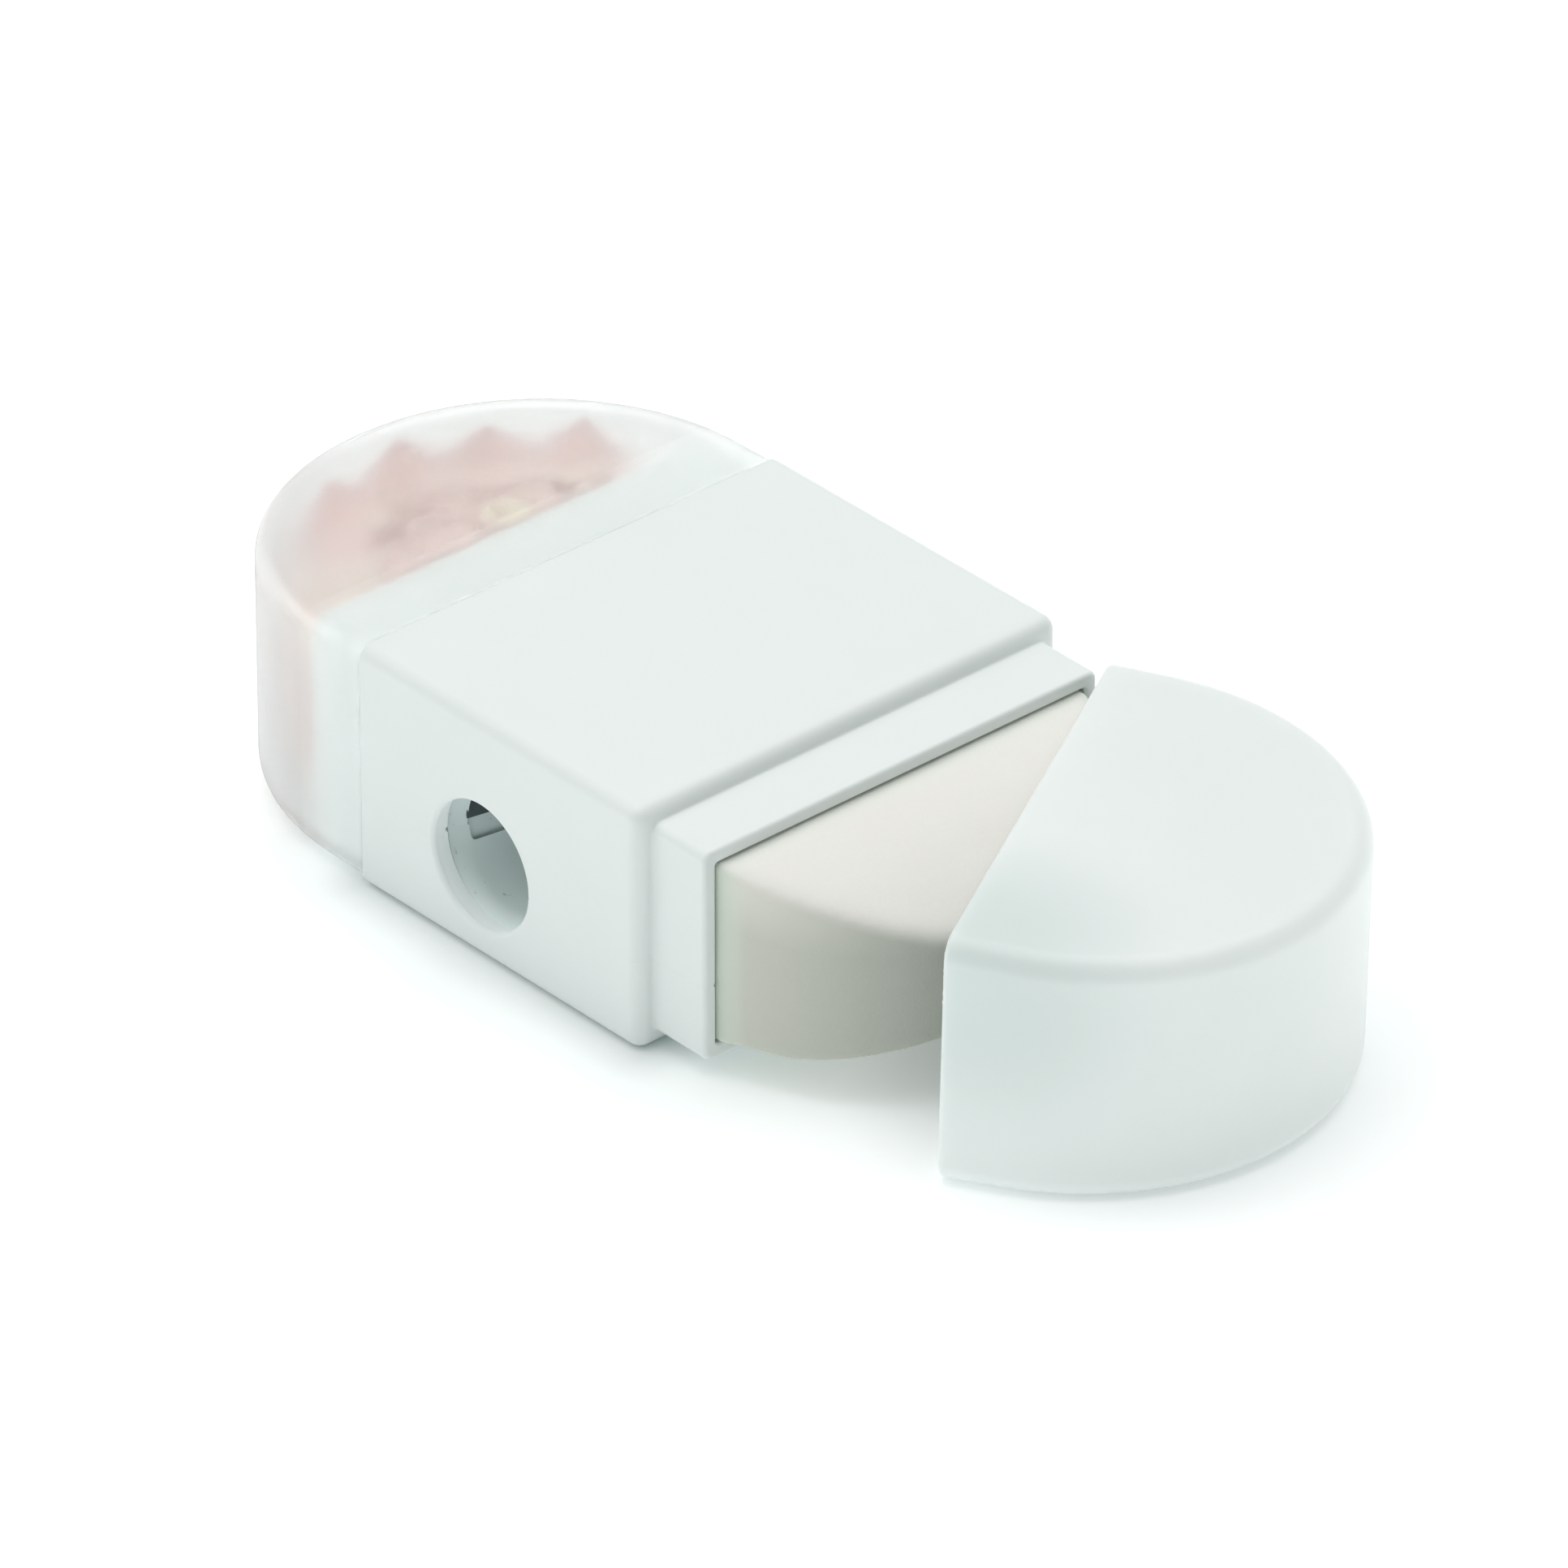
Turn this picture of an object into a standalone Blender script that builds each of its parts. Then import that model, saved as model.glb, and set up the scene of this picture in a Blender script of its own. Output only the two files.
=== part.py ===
# Pencil sharpener with an eraser. A housing of two shells clamps a sharpener insert and
# holds an eraser. A clear shavings container covers one end, and a cap fits over the eraser.
# X runs along the object towards the eraser, Y away from the pencil hole, and Z up.
# The origin is the middle of the housing's underside.

import math

import bmesh
import bpy
from mathutils import Vector

MM = 0.001

# Housing block, the part that shows between the two ends
BLOCK_LENGTH = 24.0 * MM
BLOCK_WIDTH = 32.0 * MM
BLOCK_HEIGHT = 16.0 * MM
BLOCK_EDGE = 0.9 * MM

# Spigots that the container and the cap push onto
LEFT_SPIGOT = 5.3 * MM
RIGHT_SPIGOT = 4.4 * MM
SPIGOT_WALL = 0.9 * MM
SPIGOT_EDGE = 0.6 * MM

# Inside of the housing
FLOOR_WALL = 1.2 * MM
PARTITION = 1.2 * MM
SEAT_GAP = 0.3 * MM
POCKET_GAP = 0.2 * MM
SEAM_GAP = 0.2 * MM
TONGUE_WIDTH = 0.7 * MM
TONGUE_HEIGHT = 0.7 * MM
TONGUE_GAP = 0.2 * MM
TONGUE_MARGIN = 2.5 * MM

# Pencil hole and the sharpener insert behind it
HOLE_DIAMETER = 7.8 * MM
HOLE_MOUTH = 0.8 * MM
HOLE_OFFSET = -1.95 * MM
BORE_DIAMETER = 7.6 * MM
BORE_TIP_DIAMETER = 1.2 * MM
CONE_HALF_ANGLE = math.radians(11.3)
COLLAR_LENGTH = 0.5 * MM
INSERT_WALL = 0.7 * MM
INSERT_SIDE_WALL = 1.2 * MM
INSERT_END_WALL = 2.2 * MM
SLOT_DEPTH = 0.25 * MM

# Blade and its screw
BLADE_THICKNESS = 0.5 * MM
BLADE_GAP = 0.2 * MM
BLADE_MARGIN = 0.5 * MM
BLADE_BEVEL = 1.4 * MM
EDGE_THICKNESS = 0.06 * MM
EDGE_ABOVE_AXIS = 0.12 * MM
SCREW_DIAMETER = 2.2 * MM
SCREW_LENGTH = 4.5 * MM
SCREW_HEAD_DIAMETER = 4.2 * MM
SCREW_HEAD_HEIGHT = 1.1 * MM
SCREW_HEAD_EDGE = 0.3 * MM
SCREW_SLOT_WIDTH = 0.7 * MM
SCREW_SLOT_DEPTH = 0.6 * MM
SCREW_GAP = 0.2 * MM

# Eraser
ERASER_GAP = 0.2 * MM
ERASER_ROUND_START = 15.2 * MM
ERASER_CROWN_START = 17.8 * MM
ERASER_CROWN_RADIUS = 19.0 * MM
ERASER_EDGE = 0.9 * MM

# Container and cap, which share one shape but for the length of their straight sides
COVER_WALL = 0.8 * MM
COVER_GAP = 0.3 * MM
CONTAINER_STRAIGHT = 3.0 * MM
CAP_STRAIGHT = 3.5 * MM
COVER_EDGE = 1.4 * MM
COVER_INNER_EDGE = 0.6 * MM
COVER_DROP = 0.4 * MM

# Where the cap lies: turned, with one corner of its rim off the socket's corner
CAP_TURN = math.radians(30.35)
CAP_AHEAD = 0.41 * MM
CAP_ASIDE = 0.31 * MM

# Fineness of the round stretches
ARC_STEPS = 32
EDGE_STEPS = 3
CROWN_STEPS = 8
BORE_STEPS = 40
SCREW_STEPS = 24
SHARP_ANGLE = math.radians(32)
OVERCUT = 2.0 * MM
MERGE = 0.001 * MM

# Sizes that follow from the ones above
half_width = BLOCK_WIDTH / 2
half_length = BLOCK_LENGTH / 2
step = COVER_WALL + COVER_GAP
inner_inset = step + SPIGOT_WALL
spigot_half = half_width - step
inner_half = half_width - inner_inset
inner_low = inner_inset
inner_high = BLOCK_HEIGHT - inner_inset
bore_radius = BORE_DIAMETER / 2
tip_radius = BORE_TIP_DIAMETER / 2
insert_low = FLOOR_WALL + SEAT_GAP
insert_high = inner_high - SEAT_GAP
seam_height = insert_low + INSERT_WALL + bore_radius
insert_front = SEAT_GAP - inner_half
collar_end = insert_front + COLLAR_LENGTH
cone_slope = math.tan(CONE_HALF_ANGLE)
cone_end = collar_end + (bore_radius - tip_radius) / cone_slope
insert_back = cone_end + INSERT_END_WALL
insert_right = HOLE_OFFSET + bore_radius + INSERT_SIDE_WALL
insert_left = HOLE_OFFSET - bore_radius - INSERT_SIDE_WALL
partition_left = insert_right + SEAT_GAP
socket_left = partition_left + PARTITION
socket_right = half_length + RIGHT_SPIGOT
cap_lean = math.atan(COVER_DROP / (CAP_STRAIGHT + half_width))


def clear_scene():
    for old in list(bpy.data.objects):
        bpy.data.objects.remove(old, do_unlink=True)


def make_material(name, colour, roughness, metallic=0.0, alpha=1.0):
    material = bpy.data.materials.new(name)
    material.use_nodes = True
    shader = material.node_tree.nodes["Principled BSDF"]
    shader.inputs["Base Color"].default_value = (*colour, 1.0)
    shader.inputs["Roughness"].default_value = roughness
    shader.inputs["Metallic"].default_value = metallic
    shader.inputs["Alpha"].default_value = alpha
    material.diffuse_color = (*colour, alpha)
    return material


def make_object(name, shape, parent=None):
    """Turns a bmesh into an object whose round stretches are shaded smooth."""
    bmesh.ops.recalc_face_normals(shape, faces=shape.faces)
    mesh = bpy.data.meshes.new(name)
    shape.to_mesh(mesh)
    shape.free()
    mesh.shade_smooth()
    mesh.set_sharp_from_angle(angle=SHARP_ANGLE)
    made = bpy.data.objects.new(name, mesh)
    bpy.context.scene.collection.objects.link(made)
    made.parent = parent
    return made


def make_piece(name, shape, material, parent=None):
    piece = make_object(name, shape, parent)
    piece.data.materials.append(material)
    return piece


def make_helper(name, shape, parent=None):
    """A shape that only cuts or adds to a piece."""
    helper = make_object(name, shape, parent)
    helper.hide_render = True
    helper.display_type = "WIRE"
    return helper


def make_empty(name, location, turn=0.0, lean=0.0):
    empty = bpy.data.objects.new(name, None)
    bpy.context.scene.collection.objects.link(empty)
    empty.location = location
    empty.rotation_euler = (0.0, lean, turn)
    return empty


def combine(piece, helper, operation):
    modifier = piece.modifiers.new(helper.name, "BOOLEAN")
    modifier.operation = operation
    modifier.solver = "EXACT"
    modifier.object = helper


def box(low, high):
    shape = bmesh.new()
    bmesh.ops.create_cube(shape, size=1.0)
    low, high = Vector(low), Vector(high)
    bmesh.ops.scale(shape, vec=high - low, verts=shape.verts)
    bmesh.ops.translate(shape, vec=(low + high) / 2, verts=shape.verts)
    return shape


def round_edges(shape, edges, radius):
    bmesh.ops.bevel(
        shape, geom=edges, offset=radius, segments=EDGE_STEPS, profile=0.5, affect="EDGES"
    )


def prism(outline, low, high):
    """An outline in the XY plane, extruded upwards."""
    shape = bmesh.new()
    face = shape.faces.new([shape.verts.new((x, y, low)) for x, y in outline])
    grown = bmesh.ops.extrude_face_region(shape, geom=[face])
    top = [part for part in grown["geom"] if isinstance(part, bmesh.types.BMVert)]
    bmesh.ops.translate(shape, vec=(0.0, 0.0, high - low), verts=top)
    return shape


def flat_edges(shape, start):
    """The upper and lower edges of a prism, apart from the two across its open end."""
    chosen = []
    for edge in shape.edges:
        first, second = (vert.co for vert in edge.verts)
        level = abs(first.z - second.z) < MERGE
        at_start = abs(first.x - start) < MERGE and abs(second.x - start) < MERGE
        if level and not at_start:
            chosen.append(edge)
    return chosen


def turned(profile, centre, steps):
    """A profile of (place along Y, radius) points, turned about the line through centre along Y."""
    shape = bmesh.new()
    points = [shape.verts.new((centre[0] + radius, y, centre[2])) for y, radius in profile]
    edges = [shape.edges.new(pair) for pair in zip(points, points[1:])]
    bmesh.ops.spin(
        shape,
        geom=points + edges,
        cent=centre,
        axis=(0.0, 1.0, 0.0),
        angle=math.tau,
        steps=steps,
        use_merge=True,
    )
    bmesh.ops.remove_doubles(shape, verts=shape.verts, dist=MERGE)
    return shape


def round_ended(start, straight, half):
    """An outline with straight sides from start, closed by half a circle."""
    outline = [(start, half), (start, -half)]
    for number in range(ARC_STEPS + 1):
        angle = math.pi * (number / ARC_STEPS - 0.5)
        outline.append((straight + half * math.cos(angle), half * math.sin(angle)))
    return outline


def spigot_outline(length):
    """Straight sides and the start of the cover's curve, cut off square at length."""
    straight = CONTAINER_STRAIGHT + COVER_GAP
    reach = min(max(length - straight, 0.0) / spigot_half, 1.0)
    last = math.asin(reach)
    side = [(-OVERCUT, spigot_half), (min(straight, length), spigot_half)]
    for number in range(1, EDGE_STEPS + 1):
        if reach == 0.0:
            break
        angle = last * number / EDGE_STEPS
        side.append((straight + spigot_half * math.sin(angle), spigot_half * math.cos(angle)))
    return side + [(x, -y) for x, y in reversed(side)]


def off_the_end(edge, length):
    """True unless the edge lies across the spigot's end."""
    return any(vert.co.x < length - MERGE for vert in edge.verts)


def spigot(name, length, towards):
    shape = prism(spigot_outline(length), step, BLOCK_HEIGHT - step)
    sides = [edge for edge in flat_edges(shape, -OVERCUT) if off_the_end(edge, length)]
    round_edges(shape, sides, SPIGOT_EDGE)
    turn = 0.0 if towards > 0 else math.pi
    place = make_empty(name + "_place", (towards * half_length, 0.0, 0.0), turn)
    return make_helper(name, shape, place)


def cover_shape(start, straight, wall, edge):
    """A round-ended block, a wall inside the cover, that closes in towards its round end."""
    half = half_width - wall
    shape = prism(round_ended(start, straight, half), wall, BLOCK_HEIGHT - wall)
    round_edges(shape, flat_edges(shape, start), edge)
    middle = BLOCK_HEIGHT / 2
    for vert in shape.verts:
        closing = 1.0 - COVER_DROP / middle * vert.co.x / (straight + half_width)
        vert.co.z = middle + (vert.co.z - middle) * closing
    return shape


def make_cover(name, material, place, straight):
    piece = make_piece(name, cover_shape(0.0, straight, 0.0, COVER_EDGE), material, place)
    hollow = cover_shape(-OVERCUT, straight, COVER_WALL, COVER_INNER_EDGE)
    combine(piece, make_helper(name + "_hollow", hollow, place), "DIFFERENCE")


def crown(shape, start, radius):
    """Curves the top and the bottom of a block towards its middle height, from start onwards."""
    reach = max(vert.co.x for vert in shape.verts) - start
    for number in range(CROWN_STEPS):
        place = (start + reach * number / CROWN_STEPS, 0.0, 0.0)
        parts = shape.verts[:] + shape.edges[:] + shape.faces[:]
        bmesh.ops.bisect_plane(
            shape, geom=parts, dist=MERGE, plane_co=place, plane_no=(1.0, 0.0, 0.0)
        )
    for vert in shape.verts:
        beyond = max(vert.co.x - start, 0.0)
        drop = radius - math.sqrt(radius**2 - beyond**2)
        vert.co.z += math.copysign(drop, BLOCK_HEIGHT / 2 - vert.co.z)


def seat_at(y):
    """Where the sloping blade seat lies, along X."""
    cone_radius = bore_radius - cone_slope * (y - collar_end)
    return HOLE_OFFSET - cone_radius + SLOT_DEPTH


def insert_outline(margin):
    """The insert seen from above: a collar at the pencil end, then a wedge along the cone."""
    aside = margin / math.cos(CONE_HALF_ANGLE)
    front = insert_front - margin
    neck = collar_end + margin
    back = insert_back + margin
    return [
        (insert_left - margin, front),
        (insert_right + margin, front),
        (insert_right + margin, back),
        (seat_at(back) - aside, back),
        (seat_at(neck) - aside, neck),
        (insert_left - margin, neck),
    ]


def hole_profile():
    """The pencil hole, from outside the front wall to inside it, with a rounded mouth."""
    radius = HOLE_DIAMETER / 2
    face = -half_width
    points = [(face - OVERCUT, 0.0), (face - OVERCUT, radius + HOLE_MOUTH)]
    for number in range(EDGE_STEPS * 2 + 1):
        angle = math.pi / 2 * number / (EDGE_STEPS * 2)
        inwards = HOLE_MOUTH * (1.0 - math.cos(angle))
        points.append((face + inwards, radius + HOLE_MOUTH * (1.0 - math.sin(angle))))
    return points + [(insert_front - SEAT_GAP / 2, radius), (insert_front - SEAT_GAP / 2, 0.0)]


def tongue(name, side, gap):
    """The bar along a seam, with gap added all round where it is a groove."""
    middle = side * (half_width + inner_half) / 2
    half = TONGUE_WIDTH / 2 + gap
    reach = half_length - TONGUE_MARGIN + gap
    low = (-reach, middle - half, seam_height - TONGUE_HEIGHT)
    return make_helper(name, box(low, (reach, middle + half, seam_height + TONGUE_HEIGHT + gap)))


def make_shell(name, material, helpers):
    shape = box((-half_length, -half_width, 0.0), (half_length, half_width, BLOCK_HEIGHT))
    round_edges(shape, list(shape.edges), BLOCK_EDGE)
    shell = make_piece(name, shape, material)
    for helper, operation in helpers:
        combine(shell, helper, operation)
    return shell


clear_scene()

housing_white = make_material("housing_white", (0.86, 0.89, 0.89), 0.35)
cap_white = make_material("cap_white", (0.85, 0.88, 0.88), 0.32)
insert_white = make_material("insert_white", (0.70, 0.74, 0.74), 0.5)
blade_steel = make_material("blade_steel", (0.52, 0.54, 0.55), 0.22, metallic=1.0)
screw_steel = make_material("screw_steel", (0.60, 0.60, 0.58), 0.3, metallic=1.0)
eraser_cream = make_material("eraser_cream", (0.85, 0.80, 0.73), 0.9)
frosted_clear = make_material("frosted_clear", (0.93, 0.95, 0.95), 0.4, alpha=0.4)

# What is added to the housing block and cut from it
left_spigot = spigot("left_spigot", LEFT_SPIGOT, -1)
right_spigot = spigot("right_spigot", RIGHT_SPIGOT, 1)
chamber = make_helper(
    "chamber",
    box(
        (-half_length - LEFT_SPIGOT - OVERCUT, -inner_half, inner_low),
        (partition_left, inner_half, inner_high),
    ),
)
socket_shape = box(
    (socket_left, -inner_half, inner_low), (socket_right + OVERCUT, inner_half, inner_high)
)
round_edges(socket_shape, flat_edges(socket_shape, socket_left), SPIGOT_EDGE)
socket = make_helper("socket", socket_shape)
pocket = make_helper("pocket", prism(insert_outline(POCKET_GAP), FLOOR_WALL, inner_low + OVERCUT))
pencil_hole = make_helper(
    "pencil_hole", turned(hole_profile(), (HOLE_OFFSET, 0.0, seam_height), BORE_STEPS)
)
far = half_length + max(LEFT_SPIGOT, RIGHT_SPIGOT) + OVERCUT
wide = half_width + OVERCUT
above_seam = make_helper(
    "above_seam",
    box((-far, -wide, seam_height - SEAM_GAP / 2), (far, wide, BLOCK_HEIGHT + OVERCUT)),
)
below_seam = make_helper(
    "below_seam", box((-far, -wide, -OVERCUT), (far, wide, seam_height + SEAM_GAP / 2))
)

# Housing shells, joined by tongues in grooves along the two long walls
solid = [(left_spigot, "UNION"), (right_spigot, "UNION")]
hollows = [(helper, "DIFFERENCE") for helper in (chamber, pocket, pencil_hole, socket)]
tongues = [(tongue(f"tongue_{side}", side, 0.0), "UNION") for side in (-1, 1)]
grooves = [(tongue(f"groove_{side}", side, TONGUE_GAP), "DIFFERENCE") for side in (-1, 1)]
make_shell("lower_shell", housing_white, solid + [(above_seam, "DIFFERENCE")] + tongues + hollows)
make_shell("upper_shell", housing_white, solid + [(below_seam, "DIFFERENCE")] + grooves + hollows)

# Sharpener insert with its tapered bore
insert = make_piece(
    "sharpener_insert", prism(insert_outline(0.0), insert_low, insert_high), insert_white
)
bore_profile = [
    (insert_front - OVERCUT, 0.0),
    (insert_front - OVERCUT, bore_radius),
    (collar_end, bore_radius),
    (cone_end, tip_radius),
    (insert_back + OVERCUT, tip_radius),
    (insert_back + OVERCUT, 0.0),
]
bore = make_helper("bore", turned(bore_profile, (HOLE_OFFSET, 0.0, seam_height), BORE_STEPS))
combine(insert, bore, "DIFFERENCE")

# Blade seat: local X runs along the cutting edge, local Y out of the insert
blade_seat = make_empty(
    "blade_seat", (seat_at(collar_end), collar_end, 0.0), math.pi / 2 - CONE_HALF_ANGLE
)
seat_length = (insert_back - collar_end) / math.cos(CONE_HALF_ANGLE)
blade_start = SEAT_GAP
blade_end = seat_length - BLADE_MARGIN
edge_height = seam_height + EDGE_ABOVE_AXIS
blade_top = insert_high - BLADE_MARGIN
blade_inner = BLADE_GAP
blade_outer = BLADE_GAP + BLADE_THICKNESS
screw_x = (blade_start + blade_end) / 2
screw_z = (edge_height + BLADE_BEVEL + blade_top) / 2

# Blade, ground to its cutting edge along the lower side
blade_section = [
    (blade_inner, edge_height),
    (blade_inner + EDGE_THICKNESS, edge_height),
    (blade_outer, edge_height + BLADE_BEVEL),
    (blade_outer, blade_top),
    (blade_inner, blade_top),
]
blade_shape = bmesh.new()
blade_face = blade_shape.faces.new(
    [blade_shape.verts.new((blade_start, y, z)) for y, z in blade_section]
)
blade_grown = bmesh.ops.extrude_face_region(blade_shape, geom=[blade_face])
bmesh.ops.translate(
    blade_shape,
    vec=(blade_end - blade_start, 0.0, 0.0),
    verts=[part for part in blade_grown["geom"] if isinstance(part, bmesh.types.BMVert)],
)
blade = make_piece("blade", blade_shape, blade_steel, blade_seat)

# Screw through the blade into the insert
head_low = blade_outer + SCREW_GAP
head_high = head_low + SCREW_HEAD_HEIGHT
head_radius = SCREW_HEAD_DIAMETER / 2
screw_radius = SCREW_DIAMETER / 2
screw_profile = [
    (-SCREW_LENGTH, 0.0),
    (-SCREW_LENGTH, screw_radius),
    (head_low, screw_radius),
    (head_low, head_radius),
    (head_high - SCREW_HEAD_EDGE, head_radius),
    (head_high, head_radius - SCREW_HEAD_EDGE),
    (head_high, 0.0),
]
screw_centre = (screw_x, 0.0, screw_z)
screw = make_piece(
    "blade_screw", turned(screw_profile, screw_centre, SCREW_STEPS), screw_steel, blade_seat
)
screw_slot = box(
    (screw_x - head_radius - OVERCUT, head_high - SCREW_SLOT_DEPTH, screw_z - SCREW_SLOT_WIDTH / 2),
    (screw_x + head_radius + OVERCUT, head_high + OVERCUT, screw_z + SCREW_SLOT_WIDTH / 2),
)
combine(screw, make_helper("screw_slot", screw_slot, blade_seat), "DIFFERENCE")
clear_radius = screw_radius + SCREW_GAP
clear_profile = [
    (-SCREW_LENGTH - SCREW_GAP, 0.0),
    (-SCREW_LENGTH - SCREW_GAP, clear_radius),
    (blade_outer + OVERCUT, clear_radius),
    (blade_outer + OVERCUT, 0.0),
]
screw_hole = make_helper(
    "screw_hole", turned(clear_profile, screw_centre, SCREW_STEPS), blade_seat
)
combine(blade, screw_hole, "DIFFERENCE")
combine(insert, screw_hole, "DIFFERENCE")

# Eraser, pushed into the socket and thinning towards its round end
eraser_start = socket_left + SEAT_GAP
eraser_half = inner_half - ERASER_GAP
eraser_outline = round_ended(eraser_start, ERASER_ROUND_START, eraser_half)
eraser_shape = prism(eraser_outline, inner_low + ERASER_GAP, inner_high - ERASER_GAP)
round_edges(eraser_shape, flat_edges(eraser_shape, eraser_start), ERASER_EDGE)
crown(eraser_shape, ERASER_CROWN_START, ERASER_CROWN_RADIUS)
make_piece("eraser", eraser_shape, eraser_cream)

# Shavings container, pushed onto the left spigot
container_place = make_empty("container_place", (-half_length - COVER_GAP, 0.0, 0.0), math.pi)
make_cover("shavings_container", frosted_clear, container_place, CONTAINER_STRAIGHT)

# Eraser cap, pulled off and turned, lying on its sloping underside with its mouth round the eraser's end
cap_place = make_empty(
    "cap_place",
    (
        socket_right + CAP_AHEAD + half_width * math.sin(CAP_TURN),
        spigot_half + CAP_ASIDE - half_width * math.cos(CAP_TURN),
        0.0,
    ),
    CAP_TURN,
    cap_lean,
)
make_cover("eraser_cap", cap_white, cap_place, CAP_STRAIGHT)
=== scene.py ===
# Looks of the pencil sharpener with eraser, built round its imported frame.
# X runs along the object towards the eraser, Y away from the pencil hole, and Z up, in metres.

import math
import random

import bmesh
import bpy
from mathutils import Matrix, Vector


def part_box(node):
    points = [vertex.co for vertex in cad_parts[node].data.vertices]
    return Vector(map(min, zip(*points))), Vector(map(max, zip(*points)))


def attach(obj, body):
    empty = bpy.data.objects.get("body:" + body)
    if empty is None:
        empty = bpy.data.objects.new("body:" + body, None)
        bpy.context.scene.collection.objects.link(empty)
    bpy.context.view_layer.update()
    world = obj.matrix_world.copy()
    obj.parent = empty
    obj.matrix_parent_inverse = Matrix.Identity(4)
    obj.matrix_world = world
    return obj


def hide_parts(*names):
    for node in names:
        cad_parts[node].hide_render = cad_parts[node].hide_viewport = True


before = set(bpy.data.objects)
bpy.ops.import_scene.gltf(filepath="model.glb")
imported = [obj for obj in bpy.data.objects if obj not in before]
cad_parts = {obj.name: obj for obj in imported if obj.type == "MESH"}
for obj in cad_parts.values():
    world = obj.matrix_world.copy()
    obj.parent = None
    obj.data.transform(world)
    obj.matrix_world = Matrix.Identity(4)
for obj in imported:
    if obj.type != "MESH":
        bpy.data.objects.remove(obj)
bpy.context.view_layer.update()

# Housing. Two white shells are moulded in plastic and welded along a seam at the pencil hole's height.
# They are modelled as one block with a spigot at each end, hollowed from the left for shavings and
# from the right for the eraser, and the seam then parts it into the two shells.
MM = 0.001
TINY = 0.002 * MM
X, Y, Z = range(3)
shell_low, shell_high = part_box("upper_shell")
top = shell_high.z
middle = top / 2
half_width = shell_high.y
half_length = 12.0 * MM
block_edge = 0.9 * MM
joint_edge = 0.16 * MM
sharp_angle = 0.6
along_share = 0.9
facing_share = 0.99


def choose(piece):
    """Makes one piece the only selected one."""
    bpy.ops.object.select_all(action="DESELECT")
    piece.select_set(True)
    bpy.context.view_layer.objects.active = piece


def settle(piece):
    """Puts a piece's place into its mesh."""
    choose(piece)
    bpy.ops.object.transform_apply(location=True, rotation=True, scale=True)


def add_block(name, low, high):
    """A cube between two corners."""
    bpy.ops.object.select_all(action="DESELECT")
    bpy.ops.mesh.primitive_cube_add(size=1.0, location=(Vector(low) + Vector(high)) / 2)
    block = bpy.context.object
    block.name = name
    block.scale = Vector(high) - Vector(low)
    settle(block)
    return block


def edit(piece):
    """Opens a piece in edit mode with all of it selected."""
    choose(piece)
    bpy.ops.object.mode_set(mode="EDIT")
    bpy.ops.mesh.select_mode(type="VERT")
    bpy.ops.mesh.select_all(action="SELECT")


def leave():
    bpy.ops.object.mode_set(mode="OBJECT")


def pick(kind, test):
    """Selects only the faces, edges or vertices of the open piece that pass the test."""
    bpy.ops.mesh.select_mode(type=kind)
    bpy.ops.mesh.select_all(action="DESELECT")
    mesh = bmesh.from_edit_mesh(bpy.context.edit_object.data)
    mesh.normal_update()
    parts = {"FACE": mesh.faces, "EDGE": mesh.edges, "VERT": mesh.verts}[kind]
    for part in parts:
        if test(part):
            part.select_set(True)
    mesh.select_flush_mode()
    bmesh.update_edit_mesh(bpy.context.edit_object.data)


def near(value, target):
    return abs(value - target) < TINY


def all_at(edge, axis, place):
    return all(near(vert.co[axis], place) for vert in edge.verts)


def runs_along(edge, axis):
    first, second = (vert.co for vert in edge.verts)
    return abs((second - first).normalized()[axis]) > along_share


def sharp(edge):
    return edge.is_manifold and edge.calc_face_angle() > sharp_angle


def facing(x, y, z):
    """A test for the faces that look one way."""
    return lambda face: face.normal.dot(Vector((x, y, z))) > facing_share


def bevel(width, segments):
    bpy.ops.mesh.bevel(offset=width, segments=segments, profile=0.5, affect="EDGES")


def extrude(x, y, z):
    bpy.ops.mesh.extrude_region_move(TRANSFORM_OT_translate={"value": (x, y, z)})


housing = add_block("housing", (-half_length, -half_width, 0.0), (half_length, half_width, top))
edit(housing)
pick("EDGE", lambda edge: runs_along(edge, X) or all_at(edge, X, half_length))
bevel(block_edge, 8)
pick("EDGE", lambda edge: sharp(edge) and all_at(edge, X, -half_length))
bevel(joint_edge, 3)
leave()

# Spigots. The right one holds the eraser and takes the cap. The left one has a low bead that the
# container snaps over, and curves in towards its mouth. Each of the left one's stations says how far
# on it lies, and how much wider and higher than the root it is.
spigot_step = 1.1 * MM
spigot_edge = 0.6 * MM
spigot_root = 3.0 * MM
spigot_half = half_width - spigot_step
spigot_rise = middle - spigot_step
rim_edge = 0.3 * MM
spigot_fillet = 0.18 * MM
bead = 0.1 * MM
left_stations = [
    (2.15 * MM, 0.0, 0.0),
    (0.22 * MM, bead, bead),
    (0.22 * MM, 0.0, 0.0),
    (0.4 * MM, 0.0, 0.0),
    (1.15 * MM, -0.045 * MM, 0.0),
    (1.16 * MM, -0.18 * MM, 0.0),
]


def along(x):
    """A point on the object's long middle line."""
    return Vector((x, 0.0, middle))


def apply_modifiers(piece):
    choose(piece)
    for modifier in list(piece.modifiers):
        bpy.ops.object.modifier_apply(modifier=modifier.name)


def combine(piece, tool, operation):
    """Joins a tool to a piece, or cuts the piece with it. The tool is then thrown away."""
    boolean = piece.modifiers.new("combine", "BOOLEAN")
    boolean.operation = operation
    boolean.solver = "EXACT"
    boolean.object = tool
    apply_modifiers(piece)
    bpy.data.objects.remove(tool, do_unlink=True)


def round_spigot(end):
    """Rounds the open spigot's long edges and the rim at its end."""
    pick("EDGE", lambda edge: runs_along(edge, X))
    bevel(spigot_edge, 6)
    pick("EDGE", lambda edge: sharp(edge) and all_at(edge, X, end))
    bevel(rim_edge, 4)


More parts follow.
